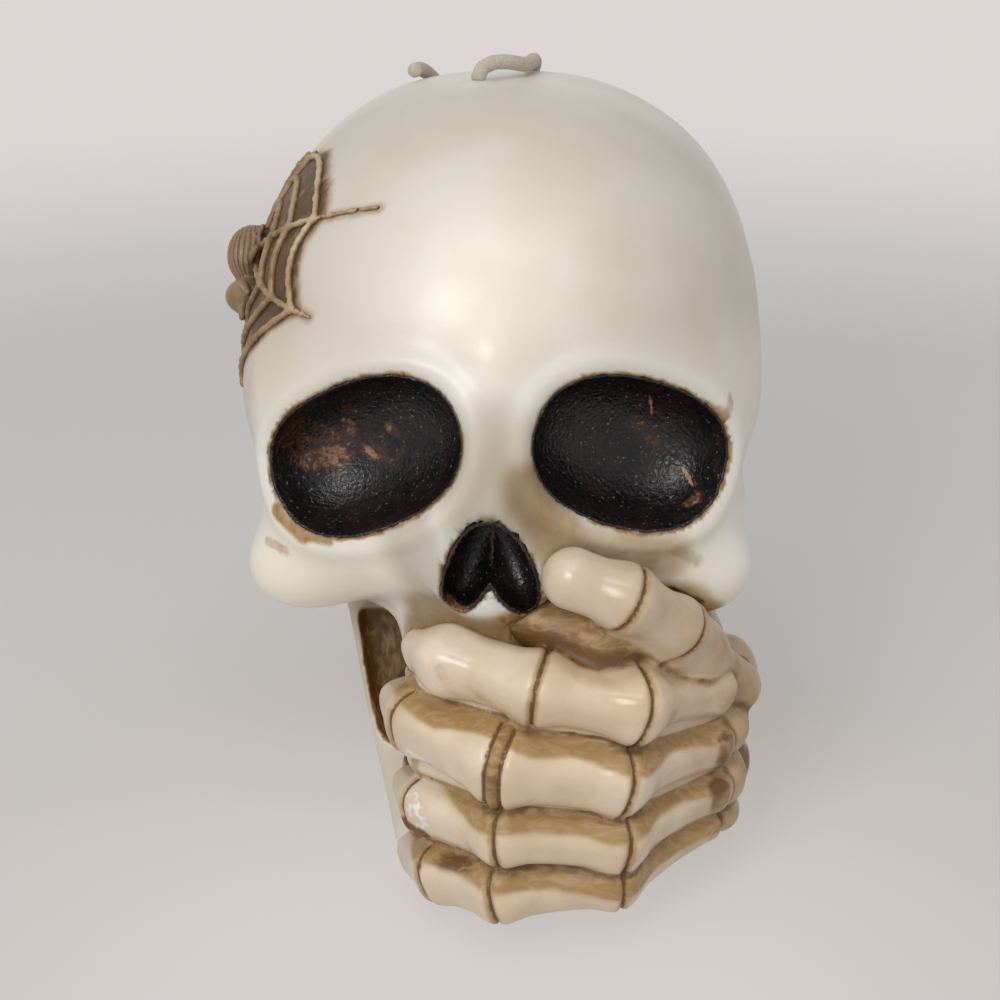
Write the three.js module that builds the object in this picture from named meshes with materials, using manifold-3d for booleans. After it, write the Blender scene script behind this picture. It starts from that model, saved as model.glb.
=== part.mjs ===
// A wax candle cast as a skull, with a bony hand laid over its mouth and a spider on its temple.
// Millimetres, +Z up. The face looks towards -Y, and the origin is on the flat base.

import * as THREE from "three";
import { mergeVertices } from "three/addons/utils/BufferGeometryUtils.js";
import Module from "manifold-3d";

const wasm = await Module();
wasm.setup();

// The head
const headWidth = 69.2; // the braincase bulges a little beyond it
const headDepth = 84; // of the braincase, which lies farther back than the face
const crownHeight = 104.6;
const skinCell = 4; // spacing of the points that describe the sculpted skin
const clearance = 0.3; // left between pieces that touch

// Eye sockets and nose, and the dark lacquer that lines them
const socketWidth = 29.2;
const socketHeight = 19.2;
const socketDepth = 9.5;
const nostrilWidth = 7.8;
const nostrilHeight = 19;
const nostrilDepth = 6.5;
const lacquerThickness = 0.8;
const lacquerInset = 0.6; // how far the lacquer's edge stays below the skin

// The hand
const fingerThickness = 10.4; // the middle finger at its second joint
const knuckleGap = 0.7; // width of the groove between two bones
const knuckleDepth = 1;
const palmThickness = 17;
const backingSetback = 1.4; // how far what joins two fingers lies behind their middles

// Web and spider
const threadThickness = 1.3;
const threadRise = 0.4; // height of a thread's middle over the skin
const webReach = 24.8; // the longest spoke
const abdomenLength = 8.2;
const abdomenWidth = 8;
const abdomenHeight = 7;
const abdomenRise = 0.8; // height of its middle over the skin, so the web hides its underside
const spiderHeadLength = 4.8;
const legThickness = 1.2;
const legReach = 7.4;
const kneeHeight = 1.6; // over the web

// Wick
const wickDiameter = 2.1;
const wickTrim = 0.5; // how far its lower end is trimmed above the base
const collarDiameter = 5.2; // wax drawn up round the wick where it comes out

// How finely the round pieces are faceted
const boneSides = 8;
const backingSides = 5;
const threadSides = 5;
const wickSides = 8;
const ballSides = 8;
const ballRings = 4;
const hollowSides = 18;
const hollowRings = 10;
const stepsPerThread = 4;
const stepsPerLeg = 2;
const wickSteps = 30;

// Places are shares of half the width, of half the depth and of the height.
const halfWidth = headWidth / 2;
const halfDepth = headDepth / 2;
const at = ([x, y, z]) => new THREE.Vector3(x * halfWidth, y * halfDepth, z * crownHeight);
const wide = (share) => share * halfWidth;

// The forms of the head, in the order in which they are joined or carved.
// A girth or a softness is a share of half the width, and a pair lies on both sides of the head.
const headShares = {
  braincase: { centre: [0, 0.19, 0.647], radii: [1.012, 1, 0.353], power: 2.4 },
  forehead: { centre: [0, -0.226, 0.717], radii: [0.882, 0.643, 0.249], soft: 0.231 },
  mask: { centre: [0, -0.179, 0.593], radii: [0.977, 0.705, 0.189], power: 3, endPower: 3.6, soft: 0.173 },
  cheekbone: { centre: [0.734, -0.56, 0.447], radii: [0.22, 0.181, 0.054], soft: 0.173, pair: true },
  waist: { centre: [1.249, -0.5, 0.55], radii: [0.306, 0.31, 0.076], soft: 0.173, pair: true, carved: true },
  temple: { centre: [1.272, -0.071, 0.593], radii: [0.332, 0.262, 0.134], soft: 0.26, pair: true, carved: true },
  bridge: { from: [0, -0.821, 0.755], to: [0, -0.89, 0.593], girths: [0.075, 0.127], soft: 0.173 },
  nose: { centre: [-0.009, -0.881, 0.52], radii: [0.254, 0.105, 0.086], soft: 0.116 },
  upperJaw: { centre: [0, -0.548, 0.382], radii: [0.387, 0.333, 0.153], soft: 0.116 },
  mouth: { centre: [0, -0.571, 0.249], radii: [0.364, 0.319, 0.191], power: 2.6, soft: 0.087 },
  chin: { centre: [0, -0.524, 0.105], radii: [0.376, 0.345, 0.172], soft: 0.145 },
  throat: { from: [0, -0.238, -0.115], to: [0, -0.19, 0.382], girths: [0.303, 0.592], soft: 0.087 },
  nape: { from: [0, 0.286, -0.115], to: [0, 0.333, 0.382], girths: [0.376, 0.636], soft: 0.173 },
  jawBranch: {
    from: [0.566, -0.321, 0.382],
    to: [0.422, -0.429, 0.076],
    girths: [0.069, 0.069],
    soft: 0.072,
    pair: true,
  },
  hollowCheek: {
    centre: [0.477, -0.62, 0.28],
    radii: [0.107, 0.2, 0.132],
    power: 3.5,
    roll: -11,
    soft: 0.029,
    pair: true,
    carved: true,
  },
  behindEar: {
    from: [0.751, 0.333, 0.44],
    to: [0.679, 0.286, 0.335],
    girths: [0.173, 0.104],
    soft: 0.145,
    pair: true,
  },
  ear: { centre: [0.954, 0.226, 0.44], radii: [0.145, 0.062, 0.027], soft: 0.043, pair: true, carved: true },
};

// A raised lip runs round each socket.
const lipShares = { height: 0.017, offset: 0.064, width: 0.049 };

// The left one's centre and the right one's, as shares of the head. They aren't quite alike, as the
// model was made by hand. The turns are degrees about +Z and then about the depth of the hollow.
const sockets = {
  centreShares: [[-0.475, -0.81, 0.632], [0.482, -0.81, 0.647]],
  radii: new THREE.Vector3(socketWidth / 2, socketDepth, socketHeight / 2),
  yaw: 22,
  roll: 29,
  power: 2.15,
};
const nostrils = {
  centreShares: [[-0.058, -0.881, 0.529], [0.035, -0.881, 0.529]],
  radii: new THREE.Vector3(nostrilWidth / 2, nostrilDepth, nostrilHeight / 2),
  yaw: 6,
  roll: -22,
  power: 2,
};

// The joints of each finger from its tip to the wrist, with its girth there as a share of the
// thickest finger. Each bone is drawn in at its middle. The index finger's last joint has no groove.
const digitShares = {
  thumb: {
    joints: [[0.306, -0.976, 0.494], [0.471, -0.976, 0.474], [0.661, -0.857, 0.417], [0.914, -0.524, 0.276]],
    girths: [0.38, 0.405, 0.391, 0.365],
    waists: [0.02, 0.03, 0.06],
  },
  index: {
    joints: [
      [-0.266, -0.774, 0.37],
      [-0.169, -0.881, 0.377],
      [0.166, -1, 0.365],
      [0.509, -0.988, 0.343],
      [0.809, -0.738, 0.314],
    ],
    girths: [0.3, 0.405, 0.404, 0.436, 0.315],
    waists: [0, 0.024, 0.048, 0.087],
    smoothJoints: [1],
  },
  middle: {
    joints: [
      [-0.355, -0.679, 0.275],
      [-0.29, -0.81, 0.28],
      [0.04, -1.024, 0.27],
      [0.452, -1, 0.251],
      [0.814, -0.738, 0.237],
    ],
    girths: [0.333, 0.415, 0.5, 0.466, 0.305],
    waists: [0, 0.024, 0.048, 0.087],
  },
  ring: {
    joints: [
      [-0.319, -0.667, 0.15],
      [-0.256, -0.81, 0.16],
      [0.041, -1.024, 0.177],
      [0.454, -0.988, 0.162],
      [0.822, -0.726, 0.168],
    ],
    girths: [0.313, 0.371, 0.421, 0.423, 0.283],
    waists: [0, 0.024, 0.048, 0.087],
  },
  little: {
    joints: [
      [-0.302, -0.679, 0.056],
      [-0.196, -0.833, 0.07],
      [0.029, -1, 0.09],
      [0.444, -0.964, 0.096],
      [0.821, -0.714, 0.111],
    ],
    girths: [0.317, 0.4, 0.427, 0.378, 0.169],
    waists: [0, 0.024, 0.048, 0.06],
  },
};
const wristShares = [
  { centre: [0.9, -0.381, 0.262], radii: [0.125, 0.131, 0.055] },
  { centre: [0.875, -0.6, 0.236], radii: [0.1, 0.12, 0.036] },
  { centre: [0.872, -0.6, 0.163], radii: [0.1, 0.12, 0.04] },
  { centre: [0.865, -0.58, 0.108], radii: [0.09, 0.11, 0.026] },
  { centre: [0.9, -0.31, 0.19], radii: [0.104, 0.11, 0.042] },
  { centre: [0.9, -0.333, 0.125], radii: [0.115, 0.12, 0.05] },
];
const forearmShares = [
  { joints: [[0.855, -0.167, 0.234], [0.665, 0.286, 0.21]], girths: [0.462, 0.365], waists: [0.096] },
  { joints: [[0.827, -0.155, 0.134], [0.6, 0.286, 0.124]], girths: [0.423, 0.327], waists: [0.077] },
];
const backingShare = 0.5; // its girth, as a share of the upper finger's
const palmShares = { centre: [0.6, -0.54, 0.225], width: 0.62, height: 0.4, power: 2.6 };
const heelShares = { joints: [[0.173, -0.86, 0.425], [0.7, -0.74, 0.378]], girths: [0.38, 0.38], waists: [0] };
const wristBridgeShares = {
  joints: [[0.838, -0.381, 0.258], [0.809, -0.333, 0.124]],
  girths: [0.346, 0.346],
  waists: [0],
};

// The web: spokes round a hub on the left temple, as degrees from the face's side. A spoke's tip and
// the place where the outer ring crosses it are shares of the web's reach. The rings sag between spokes.
const hubShares = { depth: -0.071, height: 0.793 };
const spokes = [
  { angle: 30, ringShare: 0.706, tipShare: 0.935 },
  { angle: -2, ringShare: 0.89, tipShare: 1 },
  { angle: -48, ringShare: 0.7, tipShare: 0.77 },
  { angle: -95, ringShare: 0.56, tipShare: 0.64 },
  { angle: -140, ringShare: 0.62, tipShare: 0.72 },
  { angle: 175, ringShare: 0.74, tipShare: 0.85 },
  { angle: 145, ringShare: 0.7, tipShare: 0.79 },
  { angle: 113, ringShare: 0.6, tipShare: 0.69 },
];
const ringShares = [1, 0.78, 0.54]; // each ring, as a share of the outer one
const sagShare = 0.1;
const spokeStartShare = 0.16;

// The spider hangs head down, with its legs held out in four pairs.
const spider = {
  headOffsetShare: 0.82, // from the abdomen's middle to the head's, as a share of the lengths' mean
  frontWidthShare: 1.1,
  tiltDegrees: 60,
  legAngles: [28, 62, 112, 148],
  kneeShare: 0.55,
};

// The wick's own way, from where it comes out of the crown: it flops over backwards in a loose loop
// and its cut end comes to lie beside the crown. A cord's points are chosen by hand.
const wickRoute = [
  [-3.9, 6.6, 105],
  [-3.75, 6.75, 105.9],
  [-3.1, 7.2, 106.7],
  [-1.9, 7.9, 107.15],
  [-0.4, 8.9, 107.1],
  [1, 10.3, 106.7],
  [2.2, 12.3, 106.15],
  [2.9, 15, 105.85],
  [3.2, 18.5, 105.5],
  [3.3, 22.5, 104.85],
  [3.3, 26.5, 103.85],
  [3.1, 30.5, 102.45],
  [2.5, 34.5, 100.6],
  [1, 38, 98.4],
  [-1.6, 40.4, 96.5],
  [-4.8, 41.2, 95.6],
  [-7.9, 40.2, 96.1],
  [-10.2, 37.6, 97.7],
  [-11.5, 34, 99.7],
  [-12.2, 30, 101.4],
  [-12.7, 26, 102.7],
  [-13.1, 22, 103.6],
  [-13.4, 18, 104.15],
].map((p) => new THREE.Vector3(...p));

// Sculpting. A form is a function that gives a point's distance to its surface, negative inside.

// A rounded block. power 2 is an ellipsoid and more is squarer, endPower shapes its top and bottom.
function ball(centre, radii, { power = 2, endPower = power, yaw = 0, roll = 0 } = {}) {
  const back = turn(yaw, roll).invert();
  const q = new THREE.Vector3();
  return (p) => {
    q.copy(p).sub(centre).applyQuaternion(back);
    const far = q.length();
    const plan = (Math.abs(q.x / radii.x) ** power + Math.abs(q.y / radii.y) ** power) ** (1 / power);
    const reach = (plan ** endPower + Math.abs(q.z / radii.z) ** endPower) ** (1 / endPower);
    return reach > 0 ? far - far / reach : -radii.y;
  };
}

// A round bar between two points, tapering from one radius to the other.
function bar(from, to, startRadius, endRadius) {
  const along = to.clone().sub(from);
  const q = new THREE.Vector3();
  return (p) => {
    q.copy(p).sub(from);
    const t = THREE.MathUtils.clamp(q.dot(along) / along.lengthSq(), 0, 1);
    return q.addScaledVector(along, -t).length() - THREE.MathUtils.lerp(startRadius, endRadius, t);
  };
}

function turn(yaw, roll) {
  const about = (axis, degrees) => new THREE.Quaternion().setFromAxisAngle(axis, THREE.MathUtils.degToRad(degrees));
  return about(new THREE.Vector3(0, 0, 1), yaw).multiply(about(new THREE.Vector3(0, 1, 0), roll));
}

function mirrored(form) {
  const q = new THREE.Vector3();
  return (p) => form(q.set(Math.abs(p.x), p.y, p.z));
}

function blend(a, b, soft) {
  const h = THREE.MathUtils.clamp(0.5 + (0.5 * (b - a)) / soft, 0, 1);
  return THREE.MathUtils.lerp(b, a, h) - soft * h * (1 - h);
}
const join = (form, extra, soft) => (p) => blend(form(p), extra(p), soft);
const carve = (form, tool, soft) => (p) => -blend(-form(p), tool(p), soft);

function sculpt(rows) {
  return rows.reduce((form, row) => {
    const piece = row.girths
      ? bar(at(row.from), at(row.to), wide(row.girths[0]), wide(row.girths[1]))
      : ball(at(row.centre), at(row.radii), row);
    const placed = row.pair ? mirrored(piece) : piece;
    if (!form) return placed;
    return row.carved ? carve(form, placed, wide(row.soft)) : join(form, placed, wide(row.soft));
  }, null);
}

// A pair of hollows. The left one's turns are the right one's the other way round.
const sides = [-1, 1];
function hollowForms({ centreShares, radii, yaw, roll, power }) {
  return sides.map((side, i) => ball(at(centreShares[i]), radii, { power, yaw: side * yaw, roll: side * roll }));
}

// The head without its sockets and nose: everything that lies on the skin is measured from this.
function headForm() {
  const bare = sculpt(Object.values(headShares));
  const rims = hollowForms(sockets);
  const rim = (p) => Math.min(...rims.map((form) => form(p)));
  const lip = (p) => Math.exp(-(((rim(p) - wide(lipShares.offset)) / wide(lipShares.width)) ** 2));
  return (p) => bare(p) - wide(lipShares.height) * lip(p);
}
const head = headForm();

// Solids

// The closed skin of a form: one point in each cell that the skin crosses, then moved onto the skin.
// A grown skin has the same points, each moved outwards, so that it lies round the skin everywhere.
function skinOf(form, growth, box, cell) {
  const grown = (p) => form(p) - growth;
  const count = box.getSize(new THREE.Vector3()).divideScalar(cell).ceil().addScalar(1).toArray();
  const strides = [1, count[0], count[0] * count[1]];
  const values = new Float32Array(count[0] * count[1] * count[2]);
  const place = (i, j, k) => new THREE.Vector3(i, j, k).multiplyScalar(cell).add(box.min);
  const each = (visit) => {
    for (let k = 0; k < count[2]; k += 1)
      for (let j = 0; j < count[1]; j += 1)
        for (let i = 0; i < count[0]; i += 1) visit([i, j, k], i + strides[1] * j + strides[2] * k);
  };
  each((corner, n) => {
    values[n] = form(place(...corner));
  });
  const crosses = (a, b) => values[a] < 0 !== values[b] < 0;
  const turnsOfAxes = [[0, 1, 2], [1, 2, 0], [2, 0, 1]];

  // Where a cell's side is crossed on all four of its edges, two sheets of skin would meet in one
  // line. The outer corner that is nearer to the skin is then taken inside, just under it.
  const justInside = -1e-3;
  let mended = true;
  while (mended) {
    mended = false;
    each((corner, n) => {
      for (const [, u, v] of turnsOfAxes) {
        if (corner[u] === count[u] - 1 || corner[v] === count[v] - 1) continue;
        const ring = [n, n + strides[u], n + strides[u] + strides[v], n + strides[v]];
        if (!ring.every((c, i) => crosses(c, ring[(i + 1) % 4]))) continue;
        const [one, other] = ring.filter((c) => values[c] >= 0);
        values[values[one] < values[other] ? one : other] = justInside;
        mended = true;
      }
    });
  }

  const points = [];
  const pointOf = new Int32Array(values.length).fill(-1);
  each((corner, n) => {
    if (corner.some((c, axis) => c === count[axis] - 1)) return;
    const sum = new THREE.Vector3();
    let crossings = 0;
    for (const [axis, u, v] of turnsOfAxes) {
      for (const [du, dv] of [[0, 0], [0, 1], [1, 0], [1, 1]]) {
        const a = n + du * strides[u] + dv * strides[v];
        if (!crosses(a, a + strides[axis])) continue;
        const crossing = [...corner];
        crossing[u] += du;
        crossing[v] += dv;
        crossing[axis] += values[a] / (values[a] - values[a + strides[axis]]);
        sum.add(place(...crossing));
        crossings += 1;
      }
    }
    if (!crossings) return;
    pointOf[n] = points.length;
    points.push(onto(grown, onto(form, sum.divideScalar(crossings), cell), cell));
  });

  const triangles = [];
  each((corner, n) => {
    for (const [axis, u, v] of turnsOfAxes) {
      if (corner[axis] === count[axis] - 1 || corner[u] === 0 || corner[v] === 0) continue;
      if (!crosses(n, n + strides[axis])) continue;
      const quad = [n - strides[u] - strides[v], n - strides[v], n, n - strides[u]].map((c) => pointOf[c]);
      if (values[n] >= 0) quad.reverse();
      triangles.push(quad[0], quad[1], quad[2], quad[0], quad[2], quad[3]);
    }
  });
  const mesh = new wasm.Mesh({
    numProp: 3,
    vertProperties: new Float32Array(points.flatMap((p) => p.toArray())),
    triVerts: new Uint32Array(triangles),
  });
  return new wasm.Manifold(mesh);
}

// Moves a point onto a form's surface, straight along the slope there, by half a cell at most.
function onto(form, point, cell) {
  const probeShare = 0.05;
  const stepShare = 0.5;
  const rounds = 2;
  const least = 0.05; // keeps the step small where the slope nearly vanishes
  const probe = probeShare * cell;
  for (let round = 0; round < rounds; round += 1) {
    const here = form(point);
    const slope = new THREE.Vector3();
    for (const axis of ["x", "y", "z"]) {
      const beside = point.clone();
      beside[axis] += probe;
      slope[axis] = (form(beside) - here) / probe;
    }
    slope.multiplyScalar(here / Math.max(slope.lengthSq(), least)).clampLength(0, stepShare * cell);
    point.sub(slope);
  }
  return point;
}

// The head's skin, grown outwards by a distance, or shrunk where that is negative.
function headSolid(growth) {
  const margin = 2 * skinCell;
  const room = new THREE.Box3(
    new THREE.Vector3(-halfWidth, -halfDepth, 0).subScalar(2 * margin),
    new THREE.Vector3(halfWidth, halfDepth, crownHeight).addScalar(3 * margin),
  );
  const floored = (p) => Math.max(head(p), -p.z - margin);
  return skinOf(floored, growth, room, skinCell);
}

function solid(geometry) {
  geometry.deleteAttribute("normal");
  geometry.deleteAttribute("uv");
  const merged = mergeVertices(geometry);
  const mesh = new wasm.Mesh({
    numProp: 3,
    vertProperties: merged.attributes.position.array,
    triVerts: new Uint32Array(merged.index.array),
  });
  return new wasm.Manifold(mesh);
}

const fuse = (solids) => solids.reduce((whole, piece) => whole.add(piece));

// A casting has no sealed hollows, so each is filled, and crumbs that a cut left loose are dropped.
function filled(shape) {
  const volume = (body) => body.volume();
  return shape.decompose().reduce((largest, body) => (volume(body) > volume(largest) ? body : largest));
}

function node(name, shape, { color, roughness, metalness = 0 }) {
  const { numProp, vertProperties, triVerts } = shape.getMesh();
  const interleaved = new THREE.InterleavedBuffer(vertProperties, numProp);
  const geometry = new THREE.BufferGeometry();
  geometry.setAttribute("position", new THREE.InterleavedBufferAttribute(interleaved, 3, 0));
  geometry.setIndex(new THREE.BufferAttribute(triVerts, 1));
  const mesh = new THREE.Mesh(geometry, new THREE.MeshStandardMaterial({ color, roughness, metalness }));
  mesh.name = name;
  return mesh;
}

// A ball with three radii, squared off by a power as in the forms above.
function ballSolid(centre, radii, { power = 2, yaw = 0, roll = 0, sides = ballSides, rings = ballRings } = {}) {
  const geometry = new THREE.SphereGeometry(1, sides, rings);
  const { position } = geometry.attributes;
  const p = new THREE.Vector3();
  const rotation = turn(yaw, roll);
  for (let i = 0; i < position.count; i += 1) {
    p.fromBufferAttribute(position, i);
    const reach = (Math.abs(p.x) ** power + Math.abs(p.y) ** power + Math.abs(p.z) ** power) ** (1 / power);
    p.divideScalar(reach).multiply(radii).applyQuaternion(rotation).add(centre);
    position.setXYZ(i, ...p);
  }
  return solid(geometry);
}

// A tube of a round section along a smooth curve through the points.
function tube(points, diameter, sides, steps) {
  const circle = new THREE.EllipseCurve(0, 0, diameter / 2, diameter / 2);
  const section = new THREE.Shape(circle.getPoints(sides).slice(0, -1));
  const path = new THREE.CatmullRomCurve3(points);
  return solid(new THREE.ExtrudeGeometry(section, { steps, extrudePath: path, bevelEnabled: false }));
}

// Sockets and nose

// Both hollows of a pair, made smaller by an inset.
function hollows({ centreShares, radii, yaw, roll, power }, inset) {
  const detail = { sides: hollowSides, rings: hollowRings };
  return sides.map((side, i) => {
    const turns = { yaw: side * yaw, roll: side * roll };
    return ballSolid(at(centreShares[i]), radii.clone().subScalar(inset), { power, ...turns, ...detail });
  });
}

const lacquerPaint = { color: 0x16110f, roughness: 0.22 };

function lacquers() {
  const inner = headSolid(-lacquerInset);
  const film = (outside, inside) => outside.subtract(inside).intersect(inner);
  const outer = hollows(sockets, clearance);
  const hollow = hollows(sockets, clearance + lacquerThickness);
  const nose = fuse(hollows(nostrils, clearance));
  const noseHollow = fuse(hollows(nostrils, clearance + lacquerThickness));
  return [
    node("left_eye_lacquer", film(outer[0], hollow[0]), lacquerPaint),
    node("right_eye_lacquer", film(outer[1], hollow[1]), lacquerPaint),
    node("nose_lacquer", film(nose, noseHollow), lacquerPaint),
  ];
}

// Skull

function skull() {
  const below = new THREE.BoxGeometry(2 * headWidth, 2 * headDepth, crownHeight);
  below.translate(0, 0, -crownHeight / 2);
  const collarRadius = collarDiameter / 2;
  const collarCentre = wickRoute[0].clone().setZ(wickRoute[0].z - collarRadius);
  const collar = ballSolid(collarCentre, new THREE.Vector3().setScalar(collarRadius));
  const boreRadius = wickDiameter / 2 + clearance;
  const bore = new THREE.CylinderGeometry(boreRadius, boreRadius, 3 * crownHeight, wickSides)
    .rotateX(Math.PI / 2)
    .translate(wickRoute[0].x, wickRoute[0].y, 0);
  const cutters = [...hollows(sockets, 0), ...hollows(nostrils, 0), solid(below), solid(bore)];
  const wax = cutters.reduce((shape, cutter) => shape.subtract(cutter), headSolid(0).add(collar));
  return node("skull_body", wax, { color: 0xe6dcc3, roughness: 0.42 });
}

// Hand

// A bone between two joints, drawn in at its middle. It stops short of a joint that it shares.
function bone([from, to], [startRadius, endRadius], waist, [startGap, endGap], sideCount = boneSides) {
  const endShare = 0.86; // a bone's end is rounded down to this share of its girth
  const outlineShares = [0, 0.16, 0.5, 0.84, 1];
  const way = to.clone().sub(from);
  const length = way.length() - startGap - endGap;
  const outline = outlineShares.map((t) => {
    const full = THREE.MathUtils.lerp(startRadius, endRadius, t) - waist * 4 * t * (1 - t);
    const worn = (t === 0 && startGap > 0) || (t === 1 && endGap > 0);
    return new THREE.Vector2(full * (worn ? endShare : 1), t * length);
  });
  const closed = [new THREE.Vector2(0, 0), ...outline, new THREE.Vector2(0, length)];
  way.normalize();
  const upright = new THREE.Vector3(0, 1, 0);
  const geometry = new THREE.LatheGeometry(closed, sideCount)
    .translate(0, startGap, 0)
    .applyQuaternion(new THREE.Quaternion().setFromUnitVectors(upright, way))
    .translate(...from);
  return solid(geometry);
}

// A chain of bones. Each inner joint is a groove round a thinner core, and both ends are round.
function chain({ joints, girths, waists, smoothJoints = [] }) {
  const places = joints.map(at);
  const radii = girths.map((share) => share * fingerThickness);
  const last = places.length - 1;
  const inside = (i) => i > 0 && i < last && !smoothJoints.includes(i);
  const gap = (i) => (inside(i) ? knuckleGap / 2 : 0);
  const bones = waists.map((share, i) => {
    const ends = [radii[i], radii[i + 1]];
    return bone([places[i], places[i + 1]], ends, share * fingerThickness, [gap(i), gap(i + 1)]);
  });
  const cores = places.map((place, i) => {
    const radius = radii[i] - (inside(i) ? knuckleDepth : 0);
    return ballSolid(place, new THREE.Vector3().setScalar(radius));
  });
  return fuse([...bones, ...cores]);
}

// What joins neighbouring fingers of the casting to each other, behind the gap between them.
function backings() {
  const { index, middle, ring, little } = digitShares;
  const behind = new THREE.Vector3(0, backingSetback, 0);
  return [[index, middle], [middle, ring], [ring, little]].flatMap(([upper, lower]) => {
    const places = upper.joints.map((joint, i) => at(joint).lerp(at(lower.joints[i]), 1 / 2).add(behind));
    const radii = upper.girths.map((girth) => backingShare * girth * fingerThickness);
    return upper.waists.map((_, i) => {
      const ends = [i, i + 1];
      return bone(ends.map((k) => places[k]), ends.map((k) => radii[k]), 0, [0, 0], backingSides);
    });
  });
}

function hand() {
  const wrist = wristShares.map(({ centre, radii }) => ballSolid(at(centre), at(radii)));
  const [palmWidth, palmHeight] = [wide(palmShares.width), palmShares.height * crownHeight];
  const palmRadii = new THREE.Vector3(palmWidth / 2, palmThickness / 2, palmHeight / 2);
  const palm = ballSolid(at(palmShares.centre), palmRadii, { power: palmShares.power });
  const chains = [...Object.values(digitShares), ...forearmShares, heelShares, wristBridgeShares].map(chain);
  const whole = fuse([...chains, ...backings(), ...wrist, palm]).subtract(headSolid(clearance));
  return node("hand", filled(whole), { color: 0xd8b48f, roughness: 0.5 });
}

// Web and spider

// The point of the left side's skin at a depth and height, lifted off it by a distance.
function leftSkin(y, z, lift) {
  const rounds = 40;
  const point = new THREE.Vector3(0, y, z);
  let inside = 0;
  let outside = -headWidth;
  for (let round = 0; round < rounds; round += 1) {
    point.x = (inside + outside) / 2;
    if (head(point) < lift) inside = point.x;
    else outside = point.x;
  }
  return point;
}

// A place in the web: degrees from the face's side, and a distance from the hub.
function inWeb(angle, reach, lift) {
  const along = THREE.MathUtils.degToRad(angle);
  const y = hubShares.depth * halfDepth - reach * Math.cos(along);
  return leftSkin(y, hubShares.height * crownHeight + reach * Math.sin(along), lift);
}

// A thread that keeps to the skin. Its middle sags towards the hub by a share of its reach there.
function thread(angles, reaches, sag) {
  const points = [];
  for (let step = 0; step <= stepsPerThread; step += 1) {
    const t = step / stepsPerThread;
    const angle = THREE.MathUtils.lerp(...angles, t);
    const reach = THREE.MathUtils.lerp(...reaches, t) * (1 - sag * 4 * t * (1 - t));
    points.push(inWeb(angle, reach, threadRise));
  }
  return tube(points, threadThickness, threadSides, stepsPerThread);
}

function web() {
  const radial = spokes.map(({ angle, tipShare }) => {
    const reaches = [spokeStartShare, tipShare].map((share) => share * webReach);
    return thread([angle, angle], reaches, 0);
  });
  const rings = ringShares.flatMap((share) =>
    spokes.map((spoke, i) => {
      const next = spokes[(i + 1) % spokes.length];
      const swing = THREE.MathUtils.euclideanModulo(next.angle - spoke.angle + 180, 360) - 180;
      const reaches = [spoke.ringShare, next.ringShare].map((ringShare) => share * ringShare * webReach);
      return thread([spoke.angle, spoke.angle + swing], reaches, sagShare);
    }),
  );
  const threads = fuse([...radial, ...rings]).subtract(headSolid(clearance));
  return node("spider_web", threads, { color: 0xd9ccae, roughness: 0.5 });
}

function spiderOnWeb() {
  const standing = threadRise + threadThickness / 2 + clearance; // its underside, over the skin
  const middle = inWeb(0, 0, abdomenRise);
  const out = middle.clone().sub(inWeb(0, 0, 0)).normalize();
  const ahead = new THREE.Vector3(0, -Math.cos(THREE.MathUtils.degToRad(spider.tiltDegrees)), -1)
    .projectOnPlane(out)
    .normalize();
  const across = new THREE.Vector3().crossVectors(ahead, out);
  const frame = new THREE.Matrix4().makeBasis(across, ahead, out);
  const spiderHeadOffset = (spider.headOffsetShare * (abdomenLength + spiderHeadLength)) / 2;
  const place = (x, y, z) => new THREE.Vector3(x, y, z).applyMatrix4(frame).add(middle);
  const blob = (centre, width, length, height) => {
    const geometry = new THREE.SphereGeometry(1 / 2, ballSides, ballRings + 2).scale(width, length, height);
    return solid(geometry.applyMatrix4(frame).translate(...centre));
  };
  const legs = sides.flatMap((side) =>
    spider.legAngles.map((angle) => {
      const swing = THREE.MathUtils.degToRad(angle);
      const overWeb = (share, height) => {
        const [aside, forward] = [Math.sin(swing), Math.cos(swing)].map((part) => part * share * legReach);
        const below = place(side * aside, spiderHeadOffset / 2 + forward, 0);
        return leftSkin(below.y, below.z, standing + height);
      };
      const path = [place(0, spiderHeadOffset / 2, 0), overWeb(spider.kneeShare, kneeHeight), overWeb(1, 0)];
      return tube(path, legThickness, threadSides, stepsPerLeg);
    }),
  );
  const abdomen = blob(middle, abdomenWidth, abdomenLength, abdomenHeight);
  const frontWidth = spider.frontWidthShare * spiderHeadLength;
  const front = blob(place(0, spiderHeadOffset, 0), frontWidth, spiderHeadLength, frontWidth);
  const body = fuse([abdomen, front, ...legs]).subtract(headSolid(standing));
  return node("spider", body, { color: 0xc9a888, roughness: 0.5 });
}

// Wick

function wick() {
  const cotton = { color: 0xb9ab94, roughness: 0.9 };
  const [start] = wickRoute;
  const top = start.z - clearance;
  const core = new THREE.CylinderGeometry(wickDiameter / 2, wickDiameter / 2, top - wickTrim, wickSides)
    .rotateX(Math.PI / 2)
    .translate(start.x, start.y, (top + wickTrim) / 2);
  return [
    node("wick_core", solid(core), cotton),
    node("wick_tail", tube(wickRoute, wickDiameter, wickSides, wickSteps), cotton),
  ];
}

const candle = new THREE.Group();
candle.name = "skull_candle";
candle.add(skull(), hand(), web(), spiderOnWeb(), ...lacquers(), ...wick());

export default candle;
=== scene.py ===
import math

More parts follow.
